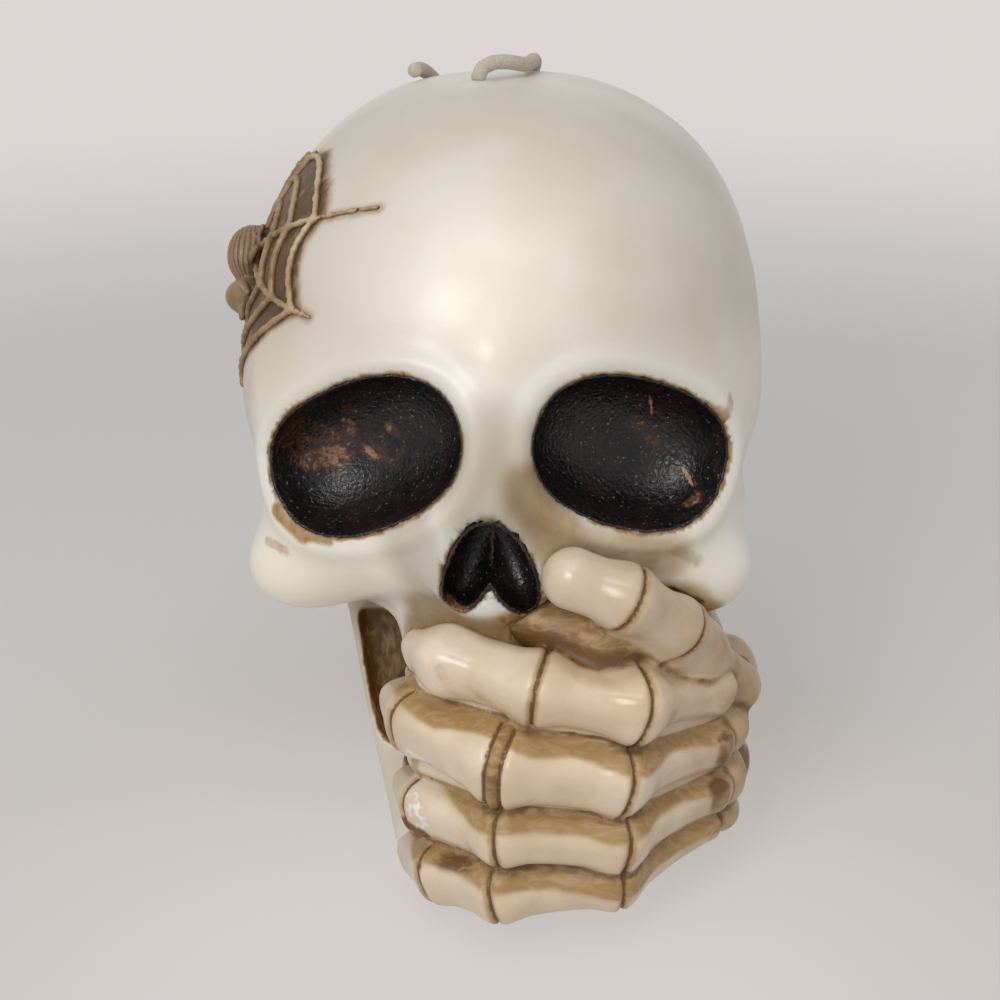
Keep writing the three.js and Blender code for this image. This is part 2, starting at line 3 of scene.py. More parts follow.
import bpy
import numpy as np
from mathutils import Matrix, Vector


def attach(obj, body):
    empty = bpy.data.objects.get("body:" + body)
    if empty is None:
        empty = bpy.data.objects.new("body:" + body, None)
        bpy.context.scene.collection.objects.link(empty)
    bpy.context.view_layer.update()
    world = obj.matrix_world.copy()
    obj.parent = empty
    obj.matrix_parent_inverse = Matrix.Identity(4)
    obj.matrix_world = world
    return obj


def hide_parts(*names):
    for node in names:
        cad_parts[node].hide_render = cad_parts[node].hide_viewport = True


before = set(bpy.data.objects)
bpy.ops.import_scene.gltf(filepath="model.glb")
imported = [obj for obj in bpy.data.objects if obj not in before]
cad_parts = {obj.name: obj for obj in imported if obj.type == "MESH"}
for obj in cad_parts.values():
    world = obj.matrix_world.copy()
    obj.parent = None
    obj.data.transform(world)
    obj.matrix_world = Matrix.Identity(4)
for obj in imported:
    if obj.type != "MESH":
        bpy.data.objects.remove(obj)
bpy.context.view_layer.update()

# A wax candle cast as a skull. Lengths are in millimetres until a mesh is made, which is in metres.
MM = 0.001

# The head, as the solids have it
HEAD_WIDTH = 69.2
HEAD_DEPTH = 84.0
CROWN_HEIGHT = 104.6
SIZE = np.array([HEAD_WIDTH / 2, HEAD_DEPTH / 2, CROWN_HEIGHT])
SOCKET_RADII = [(14.6, 9.5, 9.6), (13.9, 9.5, 9.7)]  # left, right
NOSTRIL_RADII = [(3.9, 6.5, 8.9)] * 2
FINGER_THICKNESS = 10.4
THREAD_THICKNESS = 0.85
THREAD_RISE = 0.2  # of a thread's middle over the skin
WEB_REACH = 24.8
WICK_DIAMETER = 2.1

# How fine the sculpted skins are
SKULL_CELL = 0.75
HAND_CELL = 0.42
WEB_CELL = 0.42
SPIDER_CELL = 0.2
LACQUER_CELL = 0.32


def placed(name, data):
    obj = bpy.data.objects.new(name, data)
    bpy.context.scene.collection.objects.link(obj)
    return obj


# Camera

AZIMUTH, ELEVATION = math.radians(2), math.radians(22)
CAMERA_DISTANCE = 300
FOCAL_SHARE = 2.137  # focal length as a share of the picture's width
SENSOR_WIDTH = 36
AIM = Vector((-0.6, -4, 48.2))


def make_camera():
    back = Vector((
        math.sin(AZIMUTH) * math.cos(ELEVATION),
        -math.cos(AZIMUTH) * math.cos(ELEVATION),
        math.sin(ELEVATION),
    ))
    data = bpy.data.cameras.new("camera")
    data.sensor_width = SENSOR_WIDTH
    data.lens = SENSOR_WIDTH * FOCAL_SHARE
    data.clip_start = 0.01
    camera = placed("camera", data)
    camera.location = (AIM + back * CAMERA_DISTANCE) * MM
    camera.rotation_mode = "QUATERNION"
    camera.rotation_quaternion = back.to_track_quat("Z", "Y")
    bpy.context.scene.camera = camera


make_camera()


# Sculpting. A form is a function of three arrays x, y and z that gives each point's distance to its
# surface, negative inside.

def turn(yaw, roll):
    c, s = math.cos(math.radians(yaw)), math.sin(math.radians(yaw))
    about_z = np.array([[c, -s, 0], [s, c, 0], [0, 0, 1]])
    c, s = math.cos(math.radians(roll)), math.sin(math.radians(roll))
    return about_z @ np.array([[c, 0, s], [0, 1, 0], [-s, 0, c]])


def ball(centre, radii, power=2, end_power=None, yaw=0, roll=0):
    end = end_power or power
    back = turn(yaw, roll).T

    def form(p):
        q = [p[i] - centre[i] for i in range(3)]
        if yaw or roll:
            q = [sum(back[i][j] * q[j] for j in range(3)) for i in range(3)]
        far = np.sqrt(q[0] * q[0] + q[1] * q[1] + q[2] * q[2])
        x, y, z = (np.abs(q[i] / radii[i]) for i in range(3))
        if power == 2 and end == 2:
            reach = np.sqrt(x * x + y * y + z * z)
        else:
            plan = (x**power + y**power) ** (1 / power)
            reach = (plan**end + z**end) ** (1 / end)
        return far - far / np.maximum(reach, 1e-6)

    return form


LEDGE_TILT = math.radians(22)
LEDGE_UP = np.array([0, -math.sin(LEDGE_TILT), math.cos(LEDGE_TILT)])


def bar(start, end, start_radius, end_radius, waist=0.0, power=2.0):
    """A tapering bar. Power 2 is a round section, and more is a squarer one with a face to LEDGE_UP."""
    start, end = np.array(start, float), np.array(end, float)
    length = np.linalg.norm(end - start)
    ahead = (end - start) / length
    if power != 2:
        up = LEDGE_UP - (LEDGE_UP @ ahead) * ahead
        up /= np.linalg.norm(up)
        out = np.cross(ahead, up)

    def form(p):
        off = [p[i] - start[i] for i in range(3)]
        run = sum(off[i] * ahead[i] for i in range(3))
        t = np.clip(run / length, 0, 1)
        past = run - t * length
        if power == 2:
            across = sum(o * o for o in off) - run * run
        else:
            high = np.abs(sum(off[i] * up[i] for i in range(3)))
            deep = np.abs(sum(off[i] * out[i] for i in range(3)))
            across = (high**power + deep**power) ** (2 / power)
        radius = start_radius + (end_radius - start_radius) * t - waist * 4 * t * (1 - t)
        return np.sqrt(np.maximum(across, 0) + past * past) - radius

    return form


def mirrored(form):
    return lambda p: form([np.abs(p[0]), p[1], p[2]])


def blend(a, b, soft):
    h = np.clip(0.5 + 0.5 * (b - a) / soft, 0, 1)
    return b + (a - b) * h - soft * h * (1 - h)


def join(form, extra, soft):
    return lambda p: blend(form(p), extra(p), soft)


def carve(form, tool, soft):
    return lambda p: -blend(-form(p), tool(p), soft)


MARGIN = 5  # how far round its box a small form is worked out


def inside_box(p, low, high):
    inside = np.ones(np.shape(p[0]), bool)
    for i in range(3):
        inside &= (p[i] > low[i]) & (p[i] < high[i])
    return inside


def near(form, low, high):
    """The form inside a box and its margin, and a fixed distance elsewhere, which saves work there."""
    def shortened(p):
        inside = inside_box(p, low - MARGIN, high + MARGIN)
        out = np.full(np.shape(p[0]), MARGIN, np.float32)
        out[inside] = form([c[inside] for c in p])
        return out

    return shortened


def union(forms, soft):
    def form(p):
        whole = forms[0](p)
        for extra in forms[1:]:
            whole = blend(whole, extra(p), soft)
        return whole

    return form


def skin_of(form, low, high, cell):
    """Points and quads of a form's closed skin inside a box: one point in each cell that it crosses."""
    low, high = np.array(low, float), np.array(high, float)
    count = np.ceil((high - low) / cell).astype(int) + 1
    axes = [(low[i] + cell * np.arange(count[i])).astype(np.float32) for i in range(3)]
    grid = np.meshgrid(*axes, indexing="ij")
    value = form(grid).astype(np.float32)
    inside = value < 0
    corners = sum(
        inside[i : count[0] - 1 + i, j : count[1] - 1 + j, k : count[2] - 1 + k].astype(np.int8)
        for i in (0, 1) for j in (0, 1) for k in (0, 1)
    )
    crossed = (corners > 0) & (corners < 8)
    cells = np.argwhere(crossed)
    number = np.full(crossed.shape, -1, np.int64)
    number[crossed] = np.arange(len(cells))
    total, times = np.zeros((len(cells), 3)), np.zeros(len(cells))
    for axis in range(3):
        step, *sides = np.roll(np.eye(3, dtype=int), -axis, 0)
        for i in (0, 1):
            for j in (0, 1):
                a = cells + i * sides[0] + j * sides[1]
                b = a + step
                from_value, to_value = value[tuple(a.T)], value[tuple(b.T)]
                crosses = (from_value < 0) != (to_value < 0)
                share = np.where(crosses, from_value / np.where(crosses, from_value - to_value, 1), 0)
                total[crosses] += (a + share[:, None] * step)[crosses]
                times[crosses] += 1
    points = low + cell * total / times[:, None]

    quads = []
    for axis in range(3):
        u, v = (axis + 1) % 3, (axis + 2) % 3
        first, second = [slice(None)] * 3, [slice(None)] * 3
        first[axis], second[axis] = slice(0, count[axis] - 1), slice(1, count[axis])
        edges = np.argwhere(inside[tuple(first)] != inside[tuple(second)])
        edges = edges[(edges[:, u] > 0) & (edges[:, v] > 0)]
        edges = edges[(edges[:, u] < count[u] - 1) & (edges[:, v] < count[v] - 1)]
        ring = []
        for du, dv in ((1, 1), (0, 1), (0, 0), (1, 0)):
            at = edges.copy()
            at[:, u] -= du
            at[:, v] -= dv
            ring.append(number[tuple(at.T)])
        quad = np.stack(ring, 1)
        outwards = inside[tuple(edges.T)]
        quad[~outwards] = quad[~outwards][:, ::-1]
        quads.append(quad)
    return settled(form, points, cell), np.concatenate(quads).tolist()


def slope_of(form, points, probe):
    here = form(list(points.T))
    slope = []
    for axis in range(3):
        beside = points.copy()
        beside[:, axis] += probe
        slope.append((form(list(beside.T)) - here) / probe)
    return here, np.stack(slope, 1)


def settled(form, points, cell):
    """The points moved onto the form's skin in two steps, of half a cell at most."""
    for _ in range(2):
        here, slope = slope_of(form, points, cell / 20)
        move = here[:, None] * slope / np.maximum((slope**2).sum(1), 0.05)[:, None]
        length = np.linalg.norm(move, axis=1)
        points = points - move * np.minimum(1, cell / 2 / np.maximum(length, 1e-9))[:, None]
    return points


def ramp(value, start, end):
    """0 up to start and 1 from end on, smooth between them."""
    t = np.clip((value - start) / (end - start), 0, 1)
    return t * t * (3 - 2 * t)


def fade(value, start, end):
    return 1 - ramp(value, start, end)


def piece(name, points, faces, node, material, values=None):
    """A smooth mesh that replaces a node. values are named numbers, one for each point."""
    mesh = bpy.data.meshes.new(name)
    mesh.from_pydata((points * MM).tolist(), [], faces)
    mesh.update()
    mesh.polygons.foreach_set("use_smooth", np.ones(len(mesh.polygons), bool))
    for key, numbers in (values or {}).items():
        layer = mesh.attributes.new(key, "FLOAT", "POINT")
        layer.data.foreach_set("value", np.asarray(numbers, np.float32))
    obj = placed(name, mesh)
    mesh.materials.append(material)
    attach(obj, "root")
    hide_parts(node)
    return obj


# Materials

def nodes_of(name):
    made = bpy.data.materials.new(name)
    made.use_nodes = True
    return made, made.node_tree, made.node_tree.nodes["Principled BSDF"]


def add(tree, kind, link=None, **settings):
    """A node with its settings. Sockets are set or linked by their names or numbers in link."""
    node = tree.nodes.new(kind)
    for key, value in settings.items():
        setattr(node, key, value)
    for key, value in (link or {}).items():
        if isinstance(value, bpy.types.NodeSocket):
            tree.links.new(value, node.inputs[key])
        else:
            node.inputs[key].default_value = value
    return node


def colour(*rgb):
    """A colour written as seen, 0 to 255, in the linear numbers that a shader takes."""
    return tuple(((c / 255 + 0.055) / 1.055) ** 2.4 if c > 10 else c / 255 / 12.92 for c in rgb) + (1,)


def place(tree, per_mm, squeeze=(1, 1, 1)):
    """The point's place, so that one unit is 1 / per_mm millimetres, and longer where squeeze is less."""
    at = add(tree, "ShaderNodeNewGeometry").outputs["Position"]
    scale = tuple(per_mm * s / MM for s in squeeze)
    return add(tree, "ShaderNodeVectorMath", {0: at, 1: scale}, operation="MULTIPLY").outputs[0]


def noise(tree, per_mm, detail=3.0, roughness=0.55, distortion=0.0, squeeze=(1, 1, 1)):
    links = {"Vector": place(tree, per_mm, squeeze), "Scale": 1.0, "Detail": detail}
    links.update({"Roughness": roughness, "Distortion": distortion})
    return add(tree, "ShaderNodeTexNoise", links).outputs["Fac"]


def value_of(tree, name):
    return add(tree, "ShaderNodeAttribute", attribute_name=name).outputs["Fac"]


def sum_of(tree, a, b, scale=1.0):
    """a plus b times scale."""
    return add(tree, "ShaderNodeMath", {0: b, 1: scale, 2: a}, operation="MULTIPLY_ADD").outputs[0]


def stepped(tree, value, start, end):
    """0 below start and 1 above end, smooth between them."""
    links = {"Value": value, "From Min": start, "From Max": end}
    return add(tree, "ShaderNodeMapRange", links, interpolation_type="SMOOTHSTEP").outputs["Result"]


def between(tree, value, low, high):
    links = {"Value": value, "To Min": low, "To Max": high}
    return add(tree, "ShaderNodeMapRange", links).outputs["Result"]


def mix(tree, share, a, b, how="MIX"):
    links = {0: share, 6: a, 7: b}
    return add(tree, "ShaderNodeMix", links, data_type="RGBA", blend_type=how).outputs[2]


def bump(tree, shader, height, distance_mm, strength):
    links = {"Height": height, "Distance": distance_mm * MM, "Strength": strength}
    tree.links.new(add(tree, "ShaderNodeBump", links).outputs[0], shader.inputs["Normal"])


def connect(tree, shader, **links):
    for key, value in links.items():
        tree.links.new(value, shader.inputs[key.replace("_", " ")])


def soften(shader, weight, scale_mm, radius=(1.0, 0.62, 0.36)):
    shader.inputs["Subsurface Weight"].default_value = weight
    shader.inputs["Subsurface Radius"].default_value = radius
    shader.inputs["Subsurface Scale"].default_value = scale_mm * MM


def centred(tree, value):
    return add(tree, "ShaderNodeMath", {0: value, 1: 0.5}, operation="SUBTRACT").outputs[0]


# Two colours of the wax, those of the rub, of its darker places and of its lines, then gloss, squeeze
# and how light spreads under the skin
WAXES = dict(
    skull_wax=(
        (241, 235, 225), (234, 226, 210), (154, 116, 64), (88, 60, 26), (92, 62, 30),
        0.34, (1, 1, 0.4), (0.6, 6.0, (1.0, 0.8, 0.62)),
    ),
    hand_wax=(
        (234, 219, 198), (227, 207, 179), (166, 131, 82), (112, 78, 36), (112, 78, 40),
        0.24, (0.4, 1, 1), (0.35, 3.0, (1.0, 0.68, 0.45)),
    ),
    web_wax=(
        (214, 199, 172), (200, 181, 150), (146, 116, 78), (104, 76, 46), (84, 56, 30),
        0.3, (1, 1, 0.22), (0.25, 2.0),
    ),
    spider_wax=(
        (184, 164, 136), (166, 144, 114), (128, 102, 72), (90, 66, 42), (80, 58, 36),
        0.3, (1, 1, 0.22), (0.25, 2.0),
    ),
)


def wax(name):
    """Milky wax with a brown rub, in streaks along the axis that squeeze has least of. The values on its
    points, from 0 to 1, are wash, where the rub lies, deep, where it is darker, groove, where a dark line
    runs, a faint brown tint, of smears and beside the hand also of painted shade, shade, a grey painted
    shade, and frost, where it is scuffed white."""
    pale, warm, wash, deep, line, gloss, squeeze, glow = WAXES[name]
    made, tree, shader = nodes_of(name)
    cloud = stepped(tree, noise(tree, 0.05, 2), 0.35, 0.65)
    grain = noise(tree, 0.9, 3, 0.5)
    blotch = noise(tree, 0.22, 4, 0.55)
    streak = noise(tree, 0.8, 4, 0.6, 0.8, squeeze)
    body = mix(tree, cloud, colour(*pale), colour(*warm))
    # A faint brown tint: smears, and beside the hand also painted shade.
    stain_and_shade = sum_of(tree, value_of(tree, "stain_and_shade"), centred(tree, blotch), 0.5)
    body = mix(tree, stepped(tree, stain_and_shade, 0.0, 1.0), body, colour(190, 166, 128), "MULTIPLY")
    # Painted shade, a grey darkening.
    body = mix(tree, value_of(tree, "shade"), body, colour(194, 188, 178), "MULTIPLY")
    rubbed = sum_of(tree, value_of(tree, "wash"), centred(tree, blotch), 0.7)
    rubbed = sum_of(tree, rubbed, centred(tree, streak), 0.2)
    covered = stepped(tree, rubbed, 0.2, 0.8)
    thin = colour(*(0.24 * a + 0.76 * b for a, b in zip(pale, wash)))
    tone = mix(tree, stepped(tree, streak, 0.4, 0.68), colour(*wash), thin)
    darker = sum_of(tree, value_of(tree, "deep"), centred(tree, blotch), 0.9)
    darker = sum_of(tree, darker, centred(tree, streak), -0.9)
    tone = mix(tree, stepped(tree, darker, 0.2, 0.8), tone, colour(*deep))
    body = mix(tree, covered, body, tone)
    lined = stepped(tree, sum_of(tree, value_of(tree, "groove"), centred(tree, grain), 0.3), 0.2, 0.85)
    body = mix(tree, lined, body, colour(*line))
    frost = sum_of(tree, value_of(tree, "frost"), centred(tree, grain), 1.6)
    body = mix(tree, stepped(tree, frost, 0.55, 0.95), body, colour(238, 236, 231))
    connect(tree, shader, Base_Color=body, Roughness=between(tree, covered, gloss, 0.48))
    bump(tree, shader, sum_of(tree, noise(tree, 0.45, 3), grain, 0.3), 0.16, 0.3)
    soften(shader, *glow)
    return made


def lacquer():
    """Dark pitted lacquer. Its value worn, from 0 to 1, says where it is rubbed through to amber."""
    made, tree, shader = nodes_of("lacquer")
    grain = noise(tree, 1.6, 4, 0.6)
    blotch = noise(tree, 0.3, 4, 0.65)
    body = mix(tree, stepped(tree, blotch, 0.4, 0.62), colour(13, 12, 14), colour(34, 23, 22))
    worn = sum_of(tree, value_of(tree, "worn"), centred(tree, blotch), 1.1)
    worn = sum_of(tree, worn, centred(tree, grain), 1.1)
    body = mix(tree, stepped(tree, worn, 0.3, 0.65), body, colour(72, 44, 28))
    body = mix(tree, stepped(tree, worn, 0.6, 1.0), body, colour(166, 126, 88))
    # Pale specks: painted glints of the glossy lacquer.
    painted_glints = stepped(tree, noise(tree, 2.2, 1, 0.5), 0.68, 0.74)
    body = mix(tree, painted_glints, body, colour(112, 100, 96))
    rough = between(tree, stepped(tree, grain, 0.35, 0.7), 0.26, 0.46)
    connect(tree, shader, Base_Color=body, Roughness=rough)
    bump(tree, shader, sum_of(tree, noise(tree, 1.8, 2, 0.5), noise(tree, 0.5, 2), 0.8), 0.3, 0.55)
    return made


def cotton():
    made, tree, shader = nodes_of("cotton")
    fibre = noise(tree, 5.0, 2, 0.5)
    body = mix(tree, stepped(tree, fibre, 0.3, 0.7), colour(176, 166, 149), colour(198, 189, 173))
    connect(tree, shader, Base_Color=body)
    shader.inputs["Roughness"].default_value = 0.8
    soften(shader, 0.3, 1.0)
    bump(tree, shader, fibre, 0.08, 0.5)
    return made


# The wick's free end, from where it comes out of the crown. The points are those of its solid.
WICK_ROUTE = [
    (-3.9, 6.6, 105), (-3.75, 6.75, 105.9), (-3.1, 7.2, 106.7), (-1.9, 7.9, 107.15),
    (-0.4, 8.9, 107.1), (1, 10.3, 106.7), (2.2, 12.3, 106.15), (2.9, 15, 105.85),
    (3.2, 18.5, 105.5), (3.3, 22.5, 104.85), (3.3, 26.5, 103.85), (3.1, 30.5, 102.45),
    (2.5, 34.5, 100.6), (1, 38, 98.4), (-1.6, 40.4, 96.5), (-4.8, 41.2, 95.6), (-7.9, 40.2, 96.1),
    (-10.2, 37.6, 97.7), (-11.5, 34, 99.7), (-12.2, 30, 101.4), (-12.7, 26, 102.7),
    (-13.1, 22, 103.6), (-13.4, 18, 104.15),
]


def smooth_route(points, step):
    """The points joined by a smooth curve, at even steps along it."""
    p = np.array(points, float)
    p = np.vstack([2 * p[0] - p[1], p, 2 * p[-1] - p[-2]])
    t = np.linspace(0, 1, 24, endpoint=False)[:, None]
    dense = np.concatenate([
        0.5 * (2 * b + (c - a) * t + (2 * a - 5 * b + 4 * c - d) * t**2 + (3 * b - a - 3 * c + d) * t**3)
        for a, b, c, d in zip(p, p[1:], p[2:], p[3:])
    ])
    dense = np.vstack([dense, p[-2]])
    run = np.concatenate([[0], np.cumsum(np.linalg.norm(np.diff(dense, axis=0), axis=1))])
    even = np.linspace(0, run[-1], int(run[-1] / step) + 1)
    return np.stack([np.interp(even, run, dense[:, i]) for i in range(3)], 1), run[-1]


def make_wick():
    """A braid of plaits round one smooth path, a little narrower at its two ends."""
    sides, plaits, pitch, step = 24, 3, 5.5, 0.3
    path, length = smooth_route(WICK_ROUTE, step)
    ahead = np.gradient(path, axis=0)
    ahead /= np.linalg.norm(ahead, axis=1)[:, None]
    across = np.cross(ahead[0], (0, 1, 0))
    angle = np.linspace(0, 2 * math.pi, sides, endpoint=False)
    rings = []
    for i, centre in enumerate(path):
        across = across - (across @ ahead[i]) * ahead[i]
        across /= np.linalg.norm(across)
        other = np.cross(ahead[i], across)
        twist = 2 * math.pi * i * step / pitch
        one_way, other_way = (np.abs(np.cos(plaits / 2 * (angle + t))) for t in (-twist, twist))
        relief = one_way * 0.5 + other_way * 0.5
        from_end = min(i, len(path) - 1 - i) * step
        radius = WICK_DIAMETER / 2 * (0.88 + 0.12 * relief) * min(1, 0.75 + from_end)
        out = np.cos(angle)[:, None] * across + np.sin(angle)[:, None] * other
        rings.append(centre + radius[:, None] * out)
    points = np.concatenate([*rings, path[:1], path[-1:] + 0.25 * ahead[-1:]])
    first_end, last_end = len(points) - 2, len(points) - 1
    last = (len(path) - 1) * sides
    faces = []
    for j in range(sides):
        k = (j + 1) % sides
        faces += [(i + j, i + k, i + sides + k, i + sides + j) for i in range(0, last, sides)]
        faces += [(first_end, k, j), (last_end, last + j, last + k)]
    wick = piece("wick_end", points, faces, "wick_tail", cotton())
    route = [tuple(c * MM for c in p) for p in [*path[:: int(1.0 / step)], path[-1]]]
    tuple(route[0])


make_wick()


# The head. Places are shares of half the width, of half the depth and of the height. Girths and
# softness are shares of half the width.

def at(shares):
    return np.array(shares) * SIZE


def wide(share):
    return share * SIZE[0]


CHEEK_HOLLOW = dict(centre=(0.438, -0.6, 0.27), radii=(0.11, 0.26, 0.103), power=5, roll=10)
HEAD_SHARES = [
    # braincase, forehead and mask
    dict(centre=(0, 0.19, 0.647), radii=(1.012, 1, 0.353), power=2.4),
    dict(centre=(0, -0.226, 0.717), radii=(0.882, 0.643, 0.249), soft=0.231),
    dict(centre=(0, -0.179, 0.593), radii=(0.977, 0.705, 0.189), power=3, end_power=3.6, soft=0.173),
    # cheekbones, and the waists and temples over them
    dict(centre=(0.734, -0.56, 0.447), radii=(0.22, 0.181, 0.054), soft=0.173, pair=True),
    dict(centre=(1.249, -0.5, 0.55), radii=(0.306, 0.31, 0.076), soft=0.173, pair=True, carved=True),
    dict(centre=(1.272, -0.071, 0.593), radii=(0.332, 0.262, 0.134), soft=0.26, pair=True, carved=True),
    # bridge and nose, upper jaw, mouth and chin
    dict(start=(0, -0.821, 0.755), end=(0, -0.89, 0.593), girths=(0.075, 0.127), soft=0.173),
    dict(centre=(-0.009, -0.881, 0.52), radii=(0.254, 0.105, 0.086), soft=0.116),
    dict(centre=(0, -0.548, 0.382), radii=(0.387, 0.333, 0.153), soft=0.116),
    dict(centre=(0, -0.571, 0.249), radii=(0.364, 0.319, 0.191), power=2.6, soft=0.087),
    dict(centre=(0, -0.524, 0.105), radii=(0.376, 0.345, 0.172), soft=0.145),
    # throat, nape, and the branches of the jaw with the hollow cheeks in front of them
    dict(start=(0, -0.238, -0.115), end=(0, -0.19, 0.382), girths=(0.303, 0.592), soft=0.087),
    dict(start=(0, 0.286, -0.115), end=(0, 0.333, 0.382), girths=(0.376, 0.636), soft=0.173),
    dict(
        start=(0.566, -0.321, 0.382), end=(0.335, -0.46, -0.03), girths=(0.069, 0.069), soft=0.072,
        pair=True,
    ),
    dict(**CHEEK_HOLLOW, soft=0.029, pair=True, carved=True),
    # knobs under the ears, and ears
    dict(
        start=(0.751, 0.333, 0.44), end=(0.679, 0.286, 0.335), girths=(0.173, 0.104), soft=0.145,
        pair=True,
    ),
    dict(centre=(0.954, 0.226, 0.44), radii=(0.145, 0.062, 0.027), soft=0.043, pair=True, carved=True),
]
LIP_HEIGHT, LIP_OFFSET, LIP_WIDTH = wide(0.021), wide(0.055), wide(0.042)
SOCKETS = dict(
    centres=[(-0.475, -0.81, 0.632), (0.485, -0.81, 0.64)], radii=SOCKET_RADII,
    yaw=22, rolls=(29, 22), power=2.2,
)
NOSTRILS = dict(
    centres=[(-0.06, -0.881, 0.524), (0.028, -0.881, 0.524)], radii=NOSTRIL_RADII,
    yaw=6, rolls=(-22, -22),
)
WAVE_HEIGHT = 0.07


def hollows(centres, radii, yaw, rolls, power=2):
    """A left and a right hollow. The left one turns the other way round."""
    sides = zip((-1, 1), centres, radii, rolls)
    return [ball(at(c), r, power, yaw=side * yaw, roll=side * roll) for side, c, r, roll in sides]


def lowest(forms):
    return lambda p: np.minimum.reduce([form(p) for form in forms])


def sculpt(rows):
    form = None
    for row in rows:
        if "girths" in row:
            made = bar(at(row["start"]), at(row["end"]), wide(row["girths"][0]), wide(row["girths"][1]))
        else:
            extra = {key: row[key] for key in ("power", "end_power", "roll") if key in row}
            made = ball(at(row["centre"]), at(row["radii"]), **extra)
        made = mirrored(made) if row.get("pair") else made
        if form is None:
            form = made
        else:
            form = (carve if row.get("carved") else join)(form, made, wide(row["soft"]))
    return form


bare_head = sculpt(HEAD_SHARES)
SOCKET_FORMS = hollows(**SOCKETS)
sockets = lowest(SOCKET_FORMS)
nostrils = lowest(hollows(**NOSTRILS))


def unevenness(p):
    """Slight waves of a hand-finished skin."""
    x, y, z = p
    across = np.sin(x / 4.1 + 1.3 * np.sin(z / 6.3)) * np.sin(y / 5.2 + 0.8)
    return WAVE_HEIGHT * (across + np.sin(z / 4.7 + x / 9.1 + 2.1))


def head(p):
    lip = np.exp(-(((sockets(p) - LIP_OFFSET) / LIP_WIDTH) ** 2))
    return bare_head(p) - LIP_HEIGHT * lip + unevenness(p)


CONTACT, CONTACT_SOFTNESS = 0.25, 0.2  # how deep what lies on the head is sunk into it


def laid_on_head(form):
    return lambda p: -blend(-form(p), head(p) + CONTACT, CONTACT_SOFTNESS)


# The hand. Joints run from each finger's tip to the wrist, and girths and waists are shares of the
# thickest finger.

THUMB = dict(
    joints=[(0.28, -0.965, 0.503), (0.471, -0.976, 0.481), (0.661, -0.857, 0.42), (0.914, -0.524, 0.276)],
    girths=(0.38, 0.405, 0.391, 0.365), waists=(0.02, 0.03, 0.06),
)
HEEL = dict(
    joints=[(0.06, -0.79, 0.428), (0.38, -0.87, 0.4), (0.72, -0.75, 0.366)], girths=(0.36, 0.42, 0.42),
    waists=(0, 0), smooth=(1,),
)
FINGER_WAISTS = (0, 0.024, 0.048, 0.087)
FINGERS = [
    dict(
        joints=[
            (-0.266, -0.774, 0.37), (-0.169, -0.881, 0.377), (0.166, -1, 0.365), (0.509, -0.988, 0.343),
            (0.809, -0.738, 0.314),
        ],
        girths=(0.3, 0.375, 0.404, 0.436, 0.315), waists=FINGER_WAISTS, smooth=(1,),
    ),
    dict(
        joints=[
            (-0.355, -0.679, 0.275), (-0.29, -0.81, 0.28), (0.04, -1.024, 0.27), (0.452, -1, 0.251),
            (0.814, -0.738, 0.237),
        ],
        girths=(0.333, 0.415, 0.5, 0.466, 0.305), waists=FINGER_WAISTS, banded=(2,),
    ),
    dict(
        joints=[
            (-0.319, -0.667, 0.15), (-0.256, -0.81, 0.16), (0.041, -1.024, 0.177), (0.454, -0.988, 0.162),
            (0.822, -0.726, 0.168),
        ],
        girths=(0.313, 0.371, 0.421, 0.423, 0.283), waists=FINGER_WAISTS,
    ),
    dict(
        joints=[
            (-0.302, -0.679, 0.056), (-0.196, -0.833, 0.07), (0.029, -1, 0.09), (0.444, -0.964, 0.096),
            (0.821, -0.714, 0.111),
        ],
        girths=(0.317, 0.4, 0.427, 0.378, 0.169), waists=(0, 0.024, 0.048, 0.06),
    ),
]
FOREARM = [
    dict(joints=[(0.855, -0.167, 0.234), (0.665, 0.286, 0.21)], girths=(0.462, 0.365), waists=(0.096,)),
    dict(joints=[(0.827, -0.155, 0.134), (0.6, 0.286, 0.124)], girths=(0.423, 0.327), waists=(0.077,)),
]
WRIST_BRIDGE = dict(
    joints=[(0.838, -0.381, 0.258), (0.809, -0.333, 0.124)], girths=(0.346, 0.346), waists=(0,),
)
WRIST = [  # each bone's centre and radii
    ((0.9, -0.381, 0.262), (0.125, 0.131, 0.055)), ((0.875, -0.6, 0.236), (0.1, 0.12, 0.036)),
    ((0.872, -0.6, 0.163), (0.1, 0.12, 0.04)), ((0.865, -0.58, 0.108), (0.09, 0.11, 0.026)),
    ((0.9, -0.31, 0.19), (0.104, 0.11, 0.042)), ((0.9, -0.333, 0.125), (0.115, 0.12, 0.05)),
]
PALM = dict(centre=(0.6, -0.54, 0.225), radii=(0.31, 0.202, 0.2), power=2.6)
BACKING_SETBACK, BACKING_SHARE = 1.4, 0.5
KNUCKLE_GAP, KNUCKLE_DEPTH = 0.42, 0.55  # a groove's half width at its lip, and its depth
BAND_WIDTH = 2.0  # where a joint is a band between two grooves instead of one groove
SQUARE = 2.8  # a finger's section is squarer than a circle, with a ledge that looks up and forwards
BONE_SOFTNESS, SMOOTH_SOFTNESS, HEEL_SOFTNESS, HAND_SOFTNESS = 1.5, 2.4, 3.5, 1.15


def from_joint(joints, i, p):
    """How far points lie along a finger from one of its joints, and out from its middle there."""
    before, after = joints[i] - joints[i - 1], joints[i + 1] - joints[i]
    along = before / np.linalg.norm(before) + after / np.linalg.norm(after)
    along /= np.linalg.norm(along)
    off = [p[k] - joints[i][k] for k in range(3)]
    run = sum(off[k] * along[k] for k in range(3))
    return run, np.sqrt(np.maximum(sum(o * o for o in off) - run * run, 0))


